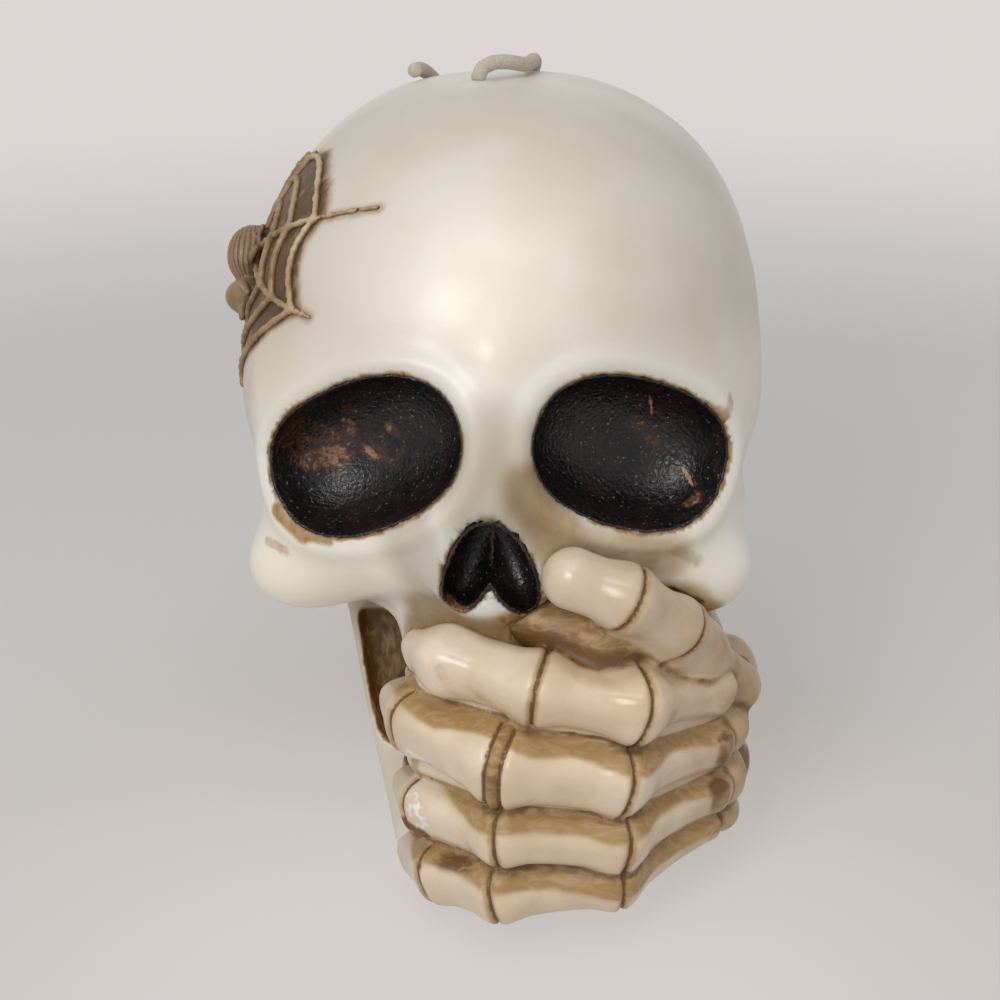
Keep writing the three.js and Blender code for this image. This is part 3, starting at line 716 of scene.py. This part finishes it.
def bones(chain, grooved=True, power=2.0):
    """One finger: waisted bones in a chain, with a groove at each inner joint that isn't smooth."""
    joints = [at(j) for j in chain["joints"]]
    radii = [girth * FINGER_THICKNESS for girth in chain["girths"]]
    waists = [waist * FINGER_THICKNESS for waist in chain["waists"]]
    smooth = chain.get("smooth", ())
    cut = [i for i in range(1, len(joints) - 1) if grooved and i not in smooth]

    def form(p):
        whole = None
        for i, waist in enumerate(waists):
            one = bar(joints[i], joints[i + 1], radii[i], radii[i + 1], waist, power)(p)
            soft = SMOOTH_SOFTNESS if i in smooth else BONE_SOFTNESS
            whole = one if whole is None else blend(whole, one, soft)
        for i in cut:
            run, out = from_joint(joints, i, p)
            if i in chain.get("banded", ()):
                run = np.abs(run) - BAND_WIDTH / 2
            groove = np.exp(-((run / KNUCKLE_GAP) ** 2)) * fade(out, radii[i] + 1, radii[i] + 2)
            whole = whole + KNUCKLE_DEPTH * groove
        return whole

    low = np.min(joints, 0) - max(radii)
    high = np.max(joints, 0) + max(radii)
    return near(form, low, high)


def backing():
    """What fills the gaps between neighbouring fingers, behind their middles."""
    forms = []
    for upper, lower in zip(FINGERS, FINGERS[1:]):
        for i in range(len(upper["waists"])):
            middles = [(at(upper["joints"][k]) + at(lower["joints"][k])) / 2 for k in (i, i + 1)]
            ends = [middle + (0, BACKING_SETBACK, 0) for middle in middles]
            girths = [BACKING_SHARE * upper["girths"][k] * FINGER_THICKNESS for k in (i, i + 1)]
            low, high = np.min(ends, 0) - MARGIN, np.max(ends, 0) + MARGIN
            forms.append(near(bar(*ends, *girths), low, high))
    return forms


def wrist_bone(centre, radii):
    return near(ball(at(centre), at(radii)), at(centre) - MARGIN, at(centre) + MARGIN)


PALM_FORM = ball(at(PALM["centre"]), at(PALM["radii"]), PALM["power"])
FINGER_FORMS = [bones(chain, True, SQUARE) for chain in FINGERS] + [bones(THUMB)]
SMOOTH_FINGERS = [bones(chain, False, SQUARE) for chain in FINGERS]
SMOOTH_THUMB = bones(THUMB, False)
HEEL_FORM = bones(HEEL)
WRIST_FORMS = [wrist_bone(*row) for row in WRIST]
thumb_side = union([FINGER_FORMS[-1], HEEL_FORM], HEEL_SOFTNESS)
ARM_FORMS = [bones(chain) for chain in (*FOREARM, WRIST_BRIDGE)]
hand_form = union(
    [*FINGER_FORMS[:-1], thumb_side, *backing(), *WRIST_FORMS, *ARM_FORMS, PALM_FORM], HAND_SOFTNESS,
)
hand = laid_on_head(hand_form)


# Web and spider

HUB_Y, HUB_Z = -0.071 * SIZE[1], 0.793 * SIZE[2]
# Each spoke's degrees from the face's side, and where the outer ring crosses it and its tip lies, as
# shares of the web's reach
SPOKES = [
    (30, 0.76, 0.985), (-2, 0.89, 1), (-48, 0.7, 0.77), (-95, 0.56, 0.64),
    (-140, 0.62, 0.72), (175, 0.74, 0.85), (145, 0.66, 0.75), (113, 0.53, 0.57),
]
RING_SHARES = (1, 0.78, 0.54)
SAG = 0.1
SPOKE_START = 0.16
TIP_THICKNESS = 0.62  # of a spoke outside the rings
THREAD_MARGIN, THREAD_SOFTNESS = 3.0, 0.4
HALVINGS = 40  # in the search for the skin


def left_skin(y, z, lift):
    """Where the left side's skin lies at each y and z, lifted off it by a distance."""
    y, z = np.atleast_1d(y).astype(float), np.atleast_1d(z).astype(float)
    inside, outside = np.zeros_like(y), np.full_like(y, -HEAD_WIDTH)
    for _ in range(HALVINGS):
        x = (inside + outside) / 2
        within = head([x, y, z]) < lift
        inside, outside = np.where(within, x, inside), np.where(within, outside, x)
    return np.stack([(inside + outside) / 2, y, z], -1)


def in_web(angle, reach, lift):
    along = np.radians(angle)
    return left_skin(HUB_Y - reach * np.cos(along), HUB_Z + reach * np.sin(along), lift)


def thread(angles, reaches, sag, steps=9, width=THREAD_THICKNESS):
    """Short bars along the skin. The middle sags towards the hub by a share of its reach there."""
    t = np.linspace(0, 1, steps)
    reach = (reaches[0] + (reaches[1] - reaches[0]) * t) * (1 - sag * 4 * t * (1 - t))
    points = in_web(angles[0] + (angles[1] - angles[0]) * t, reach, THREAD_RISE)
    return [(a, b, width / 2) for a, b in zip(points, points[1:])]


def web_bars():
    made = []
    for angle, ring, tip in SPOKES:
        made += thread((angle, angle), (SPOKE_START * WEB_REACH, ring * WEB_REACH), 0)
        reaches = (ring * WEB_REACH, tip * WEB_REACH)
        made += thread((angle, angle), reaches, 0, steps=4, width=TIP_THICKNESS)
    for share in RING_SHARES:
        for (angle, ring, _), (after, next_ring, _) in zip(SPOKES, SPOKES[1:] + SPOKES[:1]):
            swing = (after - angle + 180) % 360 - 180
            reaches = (share * ring * WEB_REACH, share * next_ring * WEB_REACH)
            made += thread((angle, angle + swing), reaches, SAG)
    return made


def ring_reach(angle):
    """How far the outer ring lies from the hub at each of some angles in degrees."""
    angle = np.asarray(angle)
    reach = np.zeros(np.shape(angle))
    for (start, ring, _), (after, next_ring, _) in zip(SPOKES, SPOKES[1:] + SPOKES[:1]):
        swing = (after - start + 180) % 360 - 180
        t = ((start - angle) % 360) / -swing
        inside = (t >= 0) & (t <= 1)
        sagged = (ring + (next_ring - ring) * t) * (1 - SAG * 4 * t * (1 - t))
        reach = np.where(inside, sagged * WEB_REACH, reach)
    return reach


WEB_BARS = web_bars()


def web_form(p):
    out = np.full(np.shape(p[0]), THREAD_MARGIN, np.float32)
    for a, b, radius in WEB_BARS:
        inside = inside_box(p, np.minimum(a, b) - THREAD_MARGIN, np.maximum(a, b) + THREAD_MARGIN)
        one = bar(a, b, radius, radius)([c[inside] for c in p])
        out[inside] = blend(out[inside], one, THREAD_SOFTNESS)
    return out


web = laid_on_head(web_form)

ABDOMEN_LENGTH, ABDOMEN_WIDTH, ABDOMEN_HEIGHT = 8.2, 8.0, 7.0
ABDOMEN_RISE = 0.8
FRONT_LENGTH, FRONT_WIDTH = 5.4, 7.4
STANDING = 0.9  # a leg's middle over the skin
TILT = math.radians(60)
LEG_ANGLES = (28, 62, 112, 148)
LEG_REACH, LEG_THICKNESS, KNEE_HEIGHT, KNEE_SHARE = 7.0, 1.1, 0.5, 0.55


def spider_frame():
    middle = in_web(0, 0, ABDOMEN_RISE)[0]
    out = middle - in_web(0, 0, 0)[0]
    out /= np.linalg.norm(out)
    ahead = np.array([0, -math.cos(TILT), -1.0])
    ahead -= (ahead @ out) * out
    ahead /= np.linalg.norm(ahead)
    return middle, np.stack([np.cross(ahead, out), ahead, out])


SPIDER_AT, SPIDER_AXES = spider_frame()
FRONT_AHEAD = 0.82 * (ABDOMEN_LENGTH + FRONT_LENGTH) / 2
FURROWS, FURROW_DEPTH = 28, 0.1  # round the whole abdomen
FRONT_SOFTNESS, LEG_SOFTNESS = 0.6, 0.4


def spider_legs():
    """Two bars for each leg, from under the body over a knee to a foot on the web."""
    def on_skin(aside, forward, lift):
        below = SPIDER_AT + np.array([aside, FRONT_AHEAD / 2 + forward, 0]) @ SPIDER_AXES
        return left_skin(below[1], below[2], lift)[0]

    thick, made = LEG_THICKNESS / 2, []
    hip = SPIDER_AT + np.array([0, FRONT_AHEAD / 2, 0]) @ SPIDER_AXES
    for side in (-1, 1):
        for degrees in LEG_ANGLES:
            swing = math.radians(degrees)
            aside, forward = side * LEG_REACH * math.sin(swing), LEG_REACH * math.cos(swing)
            knee = on_skin(KNEE_SHARE * aside, KNEE_SHARE * forward, STANDING + KNEE_HEIGHT)
            foot = on_skin(aside, forward, STANDING)
            bars = [bar(hip, knee, thick, 1.1 * thick), bar(knee, foot, 1.1 * thick, 0.8 * thick)]
            made.append(union(bars, 0.2))
    return made


SPIDER_LEGS = spider_legs()


def stripes_at(q):
    """Lengthwise furrows of the abdomen, from -1 to 1, in the spider's own axes."""
    return np.cos(FURROWS * np.arctan2(q[2], q[0]) + 0.5 * np.sin(1.3 * q[1]))


def spider_form(p):
    """Its own axes are across, ahead and out of the skin."""
    q = [sum(SPIDER_AXES[k][i] * (p[i] - SPIDER_AT[i]) for i in range(3)) for k in range(3)]
    body = ball((0, 0, 0), (ABDOMEN_WIDTH / 2, ABDOMEN_LENGTH / 2, ABDOMEN_HEIGHT / 2))(q)
    body = body + FURROW_DEPTH * stripes_at(q)
    front = ball((0, FRONT_AHEAD, 0), (FRONT_WIDTH / 2, FRONT_LENGTH / 2, FRONT_WIDTH / 2))(q)
    body = blend(body, front, FRONT_SOFTNESS)
    for leg in SPIDER_LEGS:
        body = blend(body, leg(p), LEG_SOFTNESS)
    return body


spider = laid_on_head(spider_form)


# Skull

BEAD_RADII, BEAD_SUNK, BEAD_SOFTNESS = (2.0, 2.0, 1.6), 1.5, 1.2  # of wax round the wick
SOCKET_INSET, NOSTRIL_INSET, EDGE_SOFTNESS, FOOT_SOFTNESS = 0.25, 0.1, 0.5, 0.8


def skull(p):
    x, y, z = WICK_ROUTE[0]
    whole = blend(head(p), ball((x, y, z - BEAD_SUNK), BEAD_RADII)(p), BEAD_SOFTNESS)
    whole = -blend(-whole, sockets(p) + SOCKET_INSET, EDGE_SOFTNESS)
    whole = -blend(-whole, nostrils(p) + NOSTRIL_INSET, EDGE_SOFTNESS)
    return -blend(-whole, p[2], FOOT_SOFTNESS)


def marks(points, rows):
    """How strongly each point is marked, from 0 to 1, by the nearest of some short strokes. A row is a
    stroke's two ends, its radius and its strength."""
    p, shown = list(points.T), np.zeros(len(points))
    for start, end, radius, strength in rows:
        off = bar(start, np.add(end, (0, 0, 0.01)), 0, 0)(p)
        shown = np.maximum(shown, strength * fade(off, 0.35 * radius, radius))
    return shown


SKULL_WASH = [
    ((-27.6, -30.1, 57), (-24.4, -32.5, 54.8), 2.2, 0.9),
    ((-24.4, -32.5, 54.8), (-21, -34, 54.5), 1.6, 0.8),
    ((-29.8, -28.3, 52), (-27.3, -30.8, 51.6), 1.4, 0.55),
    ((22.6, -33.5, 53.9), (25.4, -31.5, 51.4), 1.8, 0.5),
    ((22, -33, 74.2), (28.7, -29.6, 70.3), 1.2, 0.6),
    ((28.7, -29.2, 71), (29.2, -28.4, 72.4), 1.3, 0.5),
    ((22.2, -31.9, 47.4), (26.1, -30.7, 45.2), 1.2, 0.9),
    ((-5, -39.8, 50), (-5.6, -39, 47), 1.6, 0.5),
    ((-8, -34, 43.5), (6, -38, 44), 3, 0.2),
    ((5.4, -39.6, 61), (9, -38, 56), 4, 0.3),
    ((12, -37, 54), (19, -35, 52.4), 4, 0.4),
]
SKULL_DEEP = [
    ((22.2, -31.9, 47.4), (26.1, -30.7, 45.2), 1.2, 0.9),
    ((5.7, -40.3, 56.3), (6.2, -40.3, 55.3), 1.2, 0.8),
    ((-20.2, -16.3, 35.8), (-18.4, -17, 33), 3.2, 1),
    ((-18.2, -17.2, 33), (-17.4, -17.5, 27), 1.6, 0.9),
]
SKULL_STAIN = [
    ((4.9, -40.4, 63.9), (9, -39.2, 56.2), 6.5, 0.8),
    ((9, -39.2, 56.2), (22, -34, 52.5), 5.5, 0.65),
    ((-8.5, -33.6, 44.5), (8, -38.1, 45.4), 6, 0.8),
]
# Painted shade, in grey: the nose bridge, the left side of the nose, the upper lip, the left jaw under
# the cheekbone, the left temple and the right side of the cranium.
SKULL_SHADE = [
    ((0, -36, 70), (0, -38.5, 60), 10, 0.85),
    ((-10, -37, 57), (-8, -37, 50), 7, 0.7),
    ((-9, -34, 44), (9, -36, 44), 7, 0.7),
    ((-21, -14, 40), (-21, -14, 24), 8, 0.85),
    ((-20, -14, 42), (-16, -16, 10), 12, 0.4),
    ((-33, -16, 72), (-33, -16, 66), 14, 0.6),
    ((33, -12, 90), (34, -6, 66), 20, 0.32),
]
FOREHEAD = (-1, 86, 15, 14)  # x and z of the forehead's palest place, which is left free of painted shade, and how far that reaches each way


def dome_shade(p):
    """Painted shade over the cranium from the brows up, none at the middle of the forehead and less
    towards the back.
    """
    across, up = (p[0] - FOREHEAD[0]) / FOREHEAD[2], (p[2] - FOREHEAD[1]) / FOREHEAD[3]
    shade = 0.64 * ramp(p[2], 64, 82) * (1 - np.exp(-across * across - up * up))
    return shade * (1 - 0.7 * ramp(p[1], -8, 22))


# Where the rim of the right socket is chipped clean
RIM_BARE = [((5.3, -39.1, 66.4), (9.8, -37.2, 60.7), 3, 1)]
CHEEK_FORM = sculpt([dict(**CHEEK_HOLLOW, pair=True)])
HOLLOW_TOP = 36.5  # the rub in the hollow cheeks ends here
SKULL_BOX = (-40, -52, -3), (40, 56, 110)
HAND_BOX = (-22, -52, -1), (40, 22, 60)
WEB_BOX = (-40, -32, 64), (-12, 24, 102)
SPIDER_REACH = 12


def make_skull(material):
    points, quads = skin_of(skull, *SKULL_BOX, SKULL_CELL)
    p = list(points.T)
    hollow = np.minimum(sockets(p), nostrils(p))
    rim = 0.85 * fade(hollow, 0.1, 0.6) * (1 - marks(points, RIM_BARE))
    rim_line = 0.4 * fade(hollow, 0.0, 0.3)
    from_hand = hand_form(p)
    # Brown wash along where the hand lies on the skull: the rub in the seam, and painted shade from the
    # hand as well.
    seam_wash_and_shade = 0.75 * fade(from_hand, 0.1, 1.3) * fade(p[2], 46, 49)
    by_heel = 0.9 * fade(HEEL_FORM(p), 0.8, 6) * fade(p[2], 48, 51) * ramp(p[0], -3, 3)
    # A faint tint on the skull beside the hand, partly smears and partly painted shade from the hand.
    smear_and_shade_by_hand = (p[1] < -20) * fade(from_hand, 0.5, 4) * fade(p[2], 47, 51)
    recess = fade(CHEEK_FORM(p), 0.1, 0.5) * fade(p[2], HOLLOW_TOP - 1, HOLLOW_TOP + 1)
    threads = web_form(p)
    aside, up = HUB_Y - p[1], p[2] - HUB_Z
    reach, angle = np.hypot(aside, up), np.degrees(np.arctan2(up, aside))
    left = p[0] < -10
    webbed = left * fade(reach / np.maximum(ring_reach(angle), 1), 0.98, 1.16)
    beside = left * fade(threads, 0.2, 1.6) * fade(reach, 26, 28)
    thread_line = 0.5 * webbed * fade(threads, 0.05, 0.5)
    wash = [rim, seam_wash_and_shade, recess, 0.95 * webbed, 0.45 * beside, by_heel, marks(points, SKULL_WASH)]
    deep = [0.65 * recess, 0.75 * webbed, 0.45 * rim, 0.5 * by_heel, marks(points, SKULL_DEEP)]
    values = {
        "wash": np.max(wash, 0),
        "deep": np.max(deep, 0),
        "groove": np.maximum(rim_line, thread_line),
        # Painted shade, in grey, from these marks and over the cranium.
        "shade": np.maximum(marks(points, SKULL_SHADE), dome_shade(p)),
        "stain_and_shade": np.maximum(smear_and_shade_by_hand, marks(points, SKULL_STAIN)),
    }
    piece("skull", points, quads, "skull_body", material, values)


def from_lines(own, p, chains):
    """How far each point lies along its own finger from the nearest of that finger's joint lines."""
    far = np.full(len(own), 9.0)
    for k, chain in enumerate(chains):
        joints = [at(j) for j in chain["joints"]]
        for i in range(1, len(joints) - 1):
            if i not in chain.get("smooth", ()):
                run = np.abs(from_joint(joints, i, p)[0])
                far = np.where(own == k, np.minimum(far, run), far)
    return far


HAND_DEEP = [
    ((-6.9, -41.6, 40.4), (-5.2, -41.4, 36.5), 1.5, 0.42),
    ((30.3, -33.4, 25.7), (29.7, -33, 16.6), 3, 0.6),
    ((34.7, -15.9, 14), (34, -20, 22), 3.5, 0.6),
    ((-12.3, -36.5, 14.8), (-9.8, -37.5, 14), 2.2, 0.8),
    ((-10.5, -38, 12), (-10.7, -38, 9.5), 1.5, 0.8),
    ((-7.5, -39.5, 11.5), (-2.5, -42, 12), 2.4, 0.6),
    ((-3.5, -41.5, 38.5), (3, -43, 35), 2, 0.3),
]
HAND_FROST = [
    ((-10.8, -37.4, 26.3), (-9, -39, 24.4), 2.6, 0.72),
    ((-11, -37.2, 19), (-9.6, -38.3, 16.5), 2.6, 0.7),
]
LEDGE_WIDTHS = [0.9, 3.3, 2.9, 2.9]  # of the rub on each finger, under the one above


def make_hand(material):
    points, quads = skin_of(hand, *HAND_BOX, HAND_CELL)
    p = list(points.T)
    fingers = np.array([form(p) for form in SMOOTH_FINGERS])
    thumb, heel = SMOOTH_THUMB(p), HEEL_FORM(p)
    uppers = np.array([np.minimum(thumb, heel), *fingers[:-1]])
    own, each = fingers.argmin(0), np.arange(len(points))
    nearest, above = fingers[own, each], uppers[own, each]
    on_finger = (nearest < uppers[0]) * fade(nearest, 0.6, 1.4)
    width = np.choose(own, LEDGE_WIDTHS)
    ledge = on_finger * fade(above, width - 0.7, width + 1.3)
    by_heel = fade(heel, 0.2, 2.6) * (1 - on_finger) * (1 - 0.65 * ramp(p[0], 20, 27))
    by_heel = by_heel * fade(heel - thumb, 0.5, 3)
    first, second = np.sort([*fingers, thumb, heel, *[form(p) for form in WRIST_FORMS]], 0)[:2]
    creased = 0.75 * fade(second, 0.4, 1.3)
    under = on_finger * fade(above, 0.2, 0.85) * (0.35 + 0.65 * ramp(p[0], 8, 18))
    crevice = np.maximum(under, (p[0] > 26) * fade(second, 0.15, 0.7))
    owner = np.array([*fingers, thumb]).argmin(0)
    halo = 0.6 * fade(from_lines(owner, p, [*FINGERS, THUMB]), 0.4, 1.5) * (first > -1)
    band = np.zeros(len(points))
    for k, chain in enumerate(FINGERS):
        for i in chain.get("banded", ()):
            run, _ = from_joint([at(j) for j in chain["joints"]], i, p)
            band = np.maximum(band, (own == k) * fade(np.abs(run), 0.9, 1.4))
    lines = ramp(-np.minimum(fingers.min(0), thumb), 0.15, 0.5)
    # Brown wash on the hand where it meets the skull: the rub in the seam, and painted contact shade as
    # well.
    seam_wash_and_shade = 0.6 * fade(head(p), 0.2, 1.0)
    low_wrist = 0.55 * ramp(p[0], 26, 31) * fade(p[1], -26, -16)
    drips = marks(points, HAND_DEEP)
    rubbed = [0.92 * ledge, 0.9 * by_heel, seam_wash_and_shade, halo, 0.8 * band, 0.5 * crevice, creased, low_wrist]
    deep = [by_heel * (0.4 + 0.6 * fade(fingers[0], 0.4, 3.2)), 0.6 * fade(second, 0.3, 1.8), 0.4 * band]
    stain_and_shade = [0.5 * band, 0.5 * on_finger * fade(above, 2, 6), 0.25 + 0.25 * ramp(p[0], 14, 30)]
    values = {
        "wash": np.max([*rubbed, drips], 0),
        "deep": np.max([*deep, drips], 0),
        "groove": np.maximum(0.9 * lines, 0.8 * crevice),
        "stain_and_shade": np.max(stain_and_shade, 0),
        # Painted shade, in grey, on the thumb and on the fingertips' left ends.
        "shade": np.maximum(0.3 * (owner == len(FINGERS)), 0.4 * fade(p[0], -14, -8)),
        "frost": marks(points, HAND_FROST),
    }
    piece("bony_hand", points, quads, "hand", material, values)


def make_web(material):
    points, quads = skin_of(web, *WEB_BOX, WEB_CELL)
    low_down, round_the_side = fade(head(list(points.T)), 0.2, 0.75), ramp(-points[:, 0], 23, 29)
    wash = np.maximum(0.8 * low_down, 0.7 * round_the_side)
    values = {"wash": wash, "deep": 0.5 * wash, "stain_and_shade": np.full(len(points), 0.5)}
    piece("web", points, quads, "spider_web", material, values)


def make_spider(material):
    points, quads = skin_of(spider, SPIDER_AT - SPIDER_REACH, SPIDER_AT + SPIDER_REACH, SPIDER_CELL)
    q = list(((points - SPIDER_AT) @ SPIDER_AXES.T).T)
    furrows = ramp(stripes_at(q), 0.0, 0.8) * fade(q[1], 3, 4.5)
    low_down = fade(head(list(points.T)), 0.4, 1.8)
    values = {
        "wash": np.maximum(0.45, 0.85 * low_down),
        "deep": 0.6 * low_down,
        "groove": 0.7 * furrows,
        "stain_and_shade": np.full(len(points), 0.6),
    }
    piece("spider_on_web", points, quads, "spider", material, values)


# Lacquer

FILM, FILM_SUNK = 0.55, 0.25  # how far it stands out of the wall, and how deep it is sunk
FILM_INSET = 0.05


def make_lacquer(material, name, node, hollow, box, worn_places, ragged):
    """A film on a hollow's wall. It stops a little under the skin, along an edge that may be ragged."""
    def edge(p):
        x, y, z = p
        wander = np.sin(1.9 * x + 1.1 * z) * np.sin(1.4 * z - 0.8 * y) + 0.6 * np.sin(3.3 * z + 2.3 * x)
        return head(p) + FILM_INSET + ragged * (1 + wander)

    def form(p):
        sunk = hollow(p) + FILM_SUNK
        film = np.maximum(sunk - FILM_SUNK, -sunk - FILM * (0.35 + 0.65 * ramp(-head(p), 0, 2.5)))
        return np.maximum(film, edge(p))

    points, quads = skin_of(form, *box, LACQUER_CELL)
    rim = fade(-head(list(points.T)), 0.1, 0.9)
    worn = np.maximum(0.34 * rim, marks(points, worn_places))
    piece(name, points, quads, node, material, dict(worn=worn))


LEFT_WORN = [
    ((-26.5, -25.9, 66.5), (-22, -24.7, 63), 6, 0.5),
    ((-22, -24.7, 63.5), (-13.5, -25.9, 64.5), 4, 0.42),
    ((-26, -25.9, 66.5), (-25, -25.3, 64.5), 2.4, 0.62),
    ((-24.5, -25, 62), (-20.8, -24.4, 62.3), 2.6, 0.78),
    ((-19.6, -24.4, 67.2), (-18.8, -24.4, 65.8), 1.5, 0.75),
    ((-17, -24.4, 63.6), (-15.5, -26.3, 62), 0.9, 0.8),
    ((-14, -25.6, 66.9), (-13, -25.6, 66), 1.3, 0.75),
    ((-21.5, -25.2, 68.9), (-17.5, -25, 69.5), 1.6, 0.5),
]
RIGHT_WORN = [
    ((23.7, -25.3, 61.6), (25.2, -27.4, 59.4), 0.4, 1.5),
    ((25.2, -27.4, 59.4), (26.3, -31.2, 57.8), 0.45, 1.5),
    ((24.3, -29.1, 58), (25.6, -28.8, 58.8), 1.6, 0.7),
    ((19.1, -26.3, 72.4), (19.6, -24.2, 68), 0.4, 1),
    ((17, -24.2, 68), (21, -24.2, 65), 3, 0.35),
]
NOSE_WORN = [
    ((-5.8, -36.2, 47.5), (-3.8, -38.7, 47.6), 1.8, 0.9),
    ((-6.9, -38.3, 49.8), (-6.6, -37.5, 48.5), 1.4, 0.7),
    ((-0.9, -31.2, 55.3), (-0.8, -32.8, 51.8), 0.5, 0.55),
]


left, right = SOCKET_FORMS
LACQUERS = [
    ("left_lacquer", "left_eye_lacquer", left, ((-35, -46, 50), (-1, -18, 82)), LEFT_WORN, 0.1),
    ("right_lacquer", "right_eye_lacquer", right, ((1, -46, 50), (35, -18, 82)), RIGHT_WORN, 0.1),
    ("nose_film", "nose_lacquer", nostrils, ((-12, -50, 42), (10, -28, 68)), NOSE_WORN, 0.0),
]


def dress_core():
    worn = bpy.data.objects["wick_core"].data.materials
    worn.clear()
    worn.append(bpy.data.materials["cotton"])


make_skull(wax("skull_wax"))
make_hand(wax("hand_wax"))
make_web(wax("web_wax"))
make_spider(wax("spider_wax"))
paint = lacquer()
for row in LACQUERS:
    make_lacquer(paint, *row)
dress_core()


# Floor and light

FLOOR_HALF = 1.5  # in metres, as are the places and distances in make_floor
# The middle of the pool of light painted on the floor just before the candle.
PAINTED_LIGHT_PLACE = (0, -0.05, 0)


def make_floor():
    """Pale, and paler and even far off, where the lamps' light gives out, with a pool of light painted on
    it just before the candle.
    """
    mesh = bpy.data.meshes.new("floor")
    corners = [(-1, -1), (1, -1), (1, 1), (-1, 1)]
    mesh.from_pydata([(x * FLOOR_HALF, y * FLOOR_HALF, 0) for x, y in corners], [], [(0, 1, 2, 3)])
    floor = placed("floor", mesh)
    made, tree, shader = nodes_of("floor")
    shader.inputs["Base Color"].default_value = colour(208, 204, 200)
    shader.inputs["Roughness"].default_value = 0.6
    here = place(tree, MM)

    def math_of(kind, a, b):
        return add(tree, "ShaderNodeMath", {0: a, 1: b}, operation=kind).outputs[0]

    def vector_of(kind, links):
        return add(tree, "ShaderNodeVectorMath", links, operation=kind).outputs["Value"]

    far = stepped(tree, vector_of("LENGTH", {0: here}), 0.12, 0.5)
    # Near the painted pool of light most of the floor is glow, which paints the light there.
    off = stepped(tree, vector_of("DISTANCE", {0: here, 1: PAINTED_LIGHT_PLACE}), 0.02, 0.1)
    path = add(tree, "ShaderNodeLightPath").outputs
    seen = math_of("MAXIMUM", path["Is Camera Ray"], path["Is Glossy Ray"])
    share = math_of("MULTIPLY", math_of("MAXIMUM", between(tree, off, 0.75, 0.22), far), seen)
    glow = add(tree, "ShaderNodeEmission", {"Color": colour(219, 214, 211), "Strength": 1.0})
    shaders = {0: share, 1: shader.outputs[0], 2: glow.outputs[0]}
    blended = add(tree, "ShaderNodeMixShader", shaders).outputs[0]
    tree.links.new(blended, tree.nodes["Material Output"].inputs["Surface"])
    mesh.materials.append(made)


def make_world():
    world = bpy.data.worlds.new("world")
    world.use_nodes = True
    tree = world.node_tree
    background = tree.nodes["Background"]
    background.inputs["Color"].default_value = colour(236, 236, 238)
    background.inputs["Strength"].default_value = 0.64
    bpy.context.scene.world = world


def make_lamp(name, place_mm, size_mm, watts):
    data = bpy.data.lights.new(name, "AREA")
    data.shape = "RECTANGLE"
    data.size, data.size_y = (s * MM for s in size_mm)
    data.energy = watts
    lamp = placed(name, data)
    lamp.location = Vector(place_mm) * MM
    lamp.rotation_mode = "QUATERNION"
    lamp.rotation_quaternion = (Vector(place_mm) - AIM).to_track_quat("Z", "Y")


make_floor()
make_world()
make_lamp("key", (-190, -540, 400), (240, 240), 1.55)
make_lamp("top", (60, -160, 640), (360, 360), 0.25)
make_lamp("glint", (-40, -260, 520), (300, 20), 0.3)
bpy.context.scene.view_settings.view_transform = "Standard"
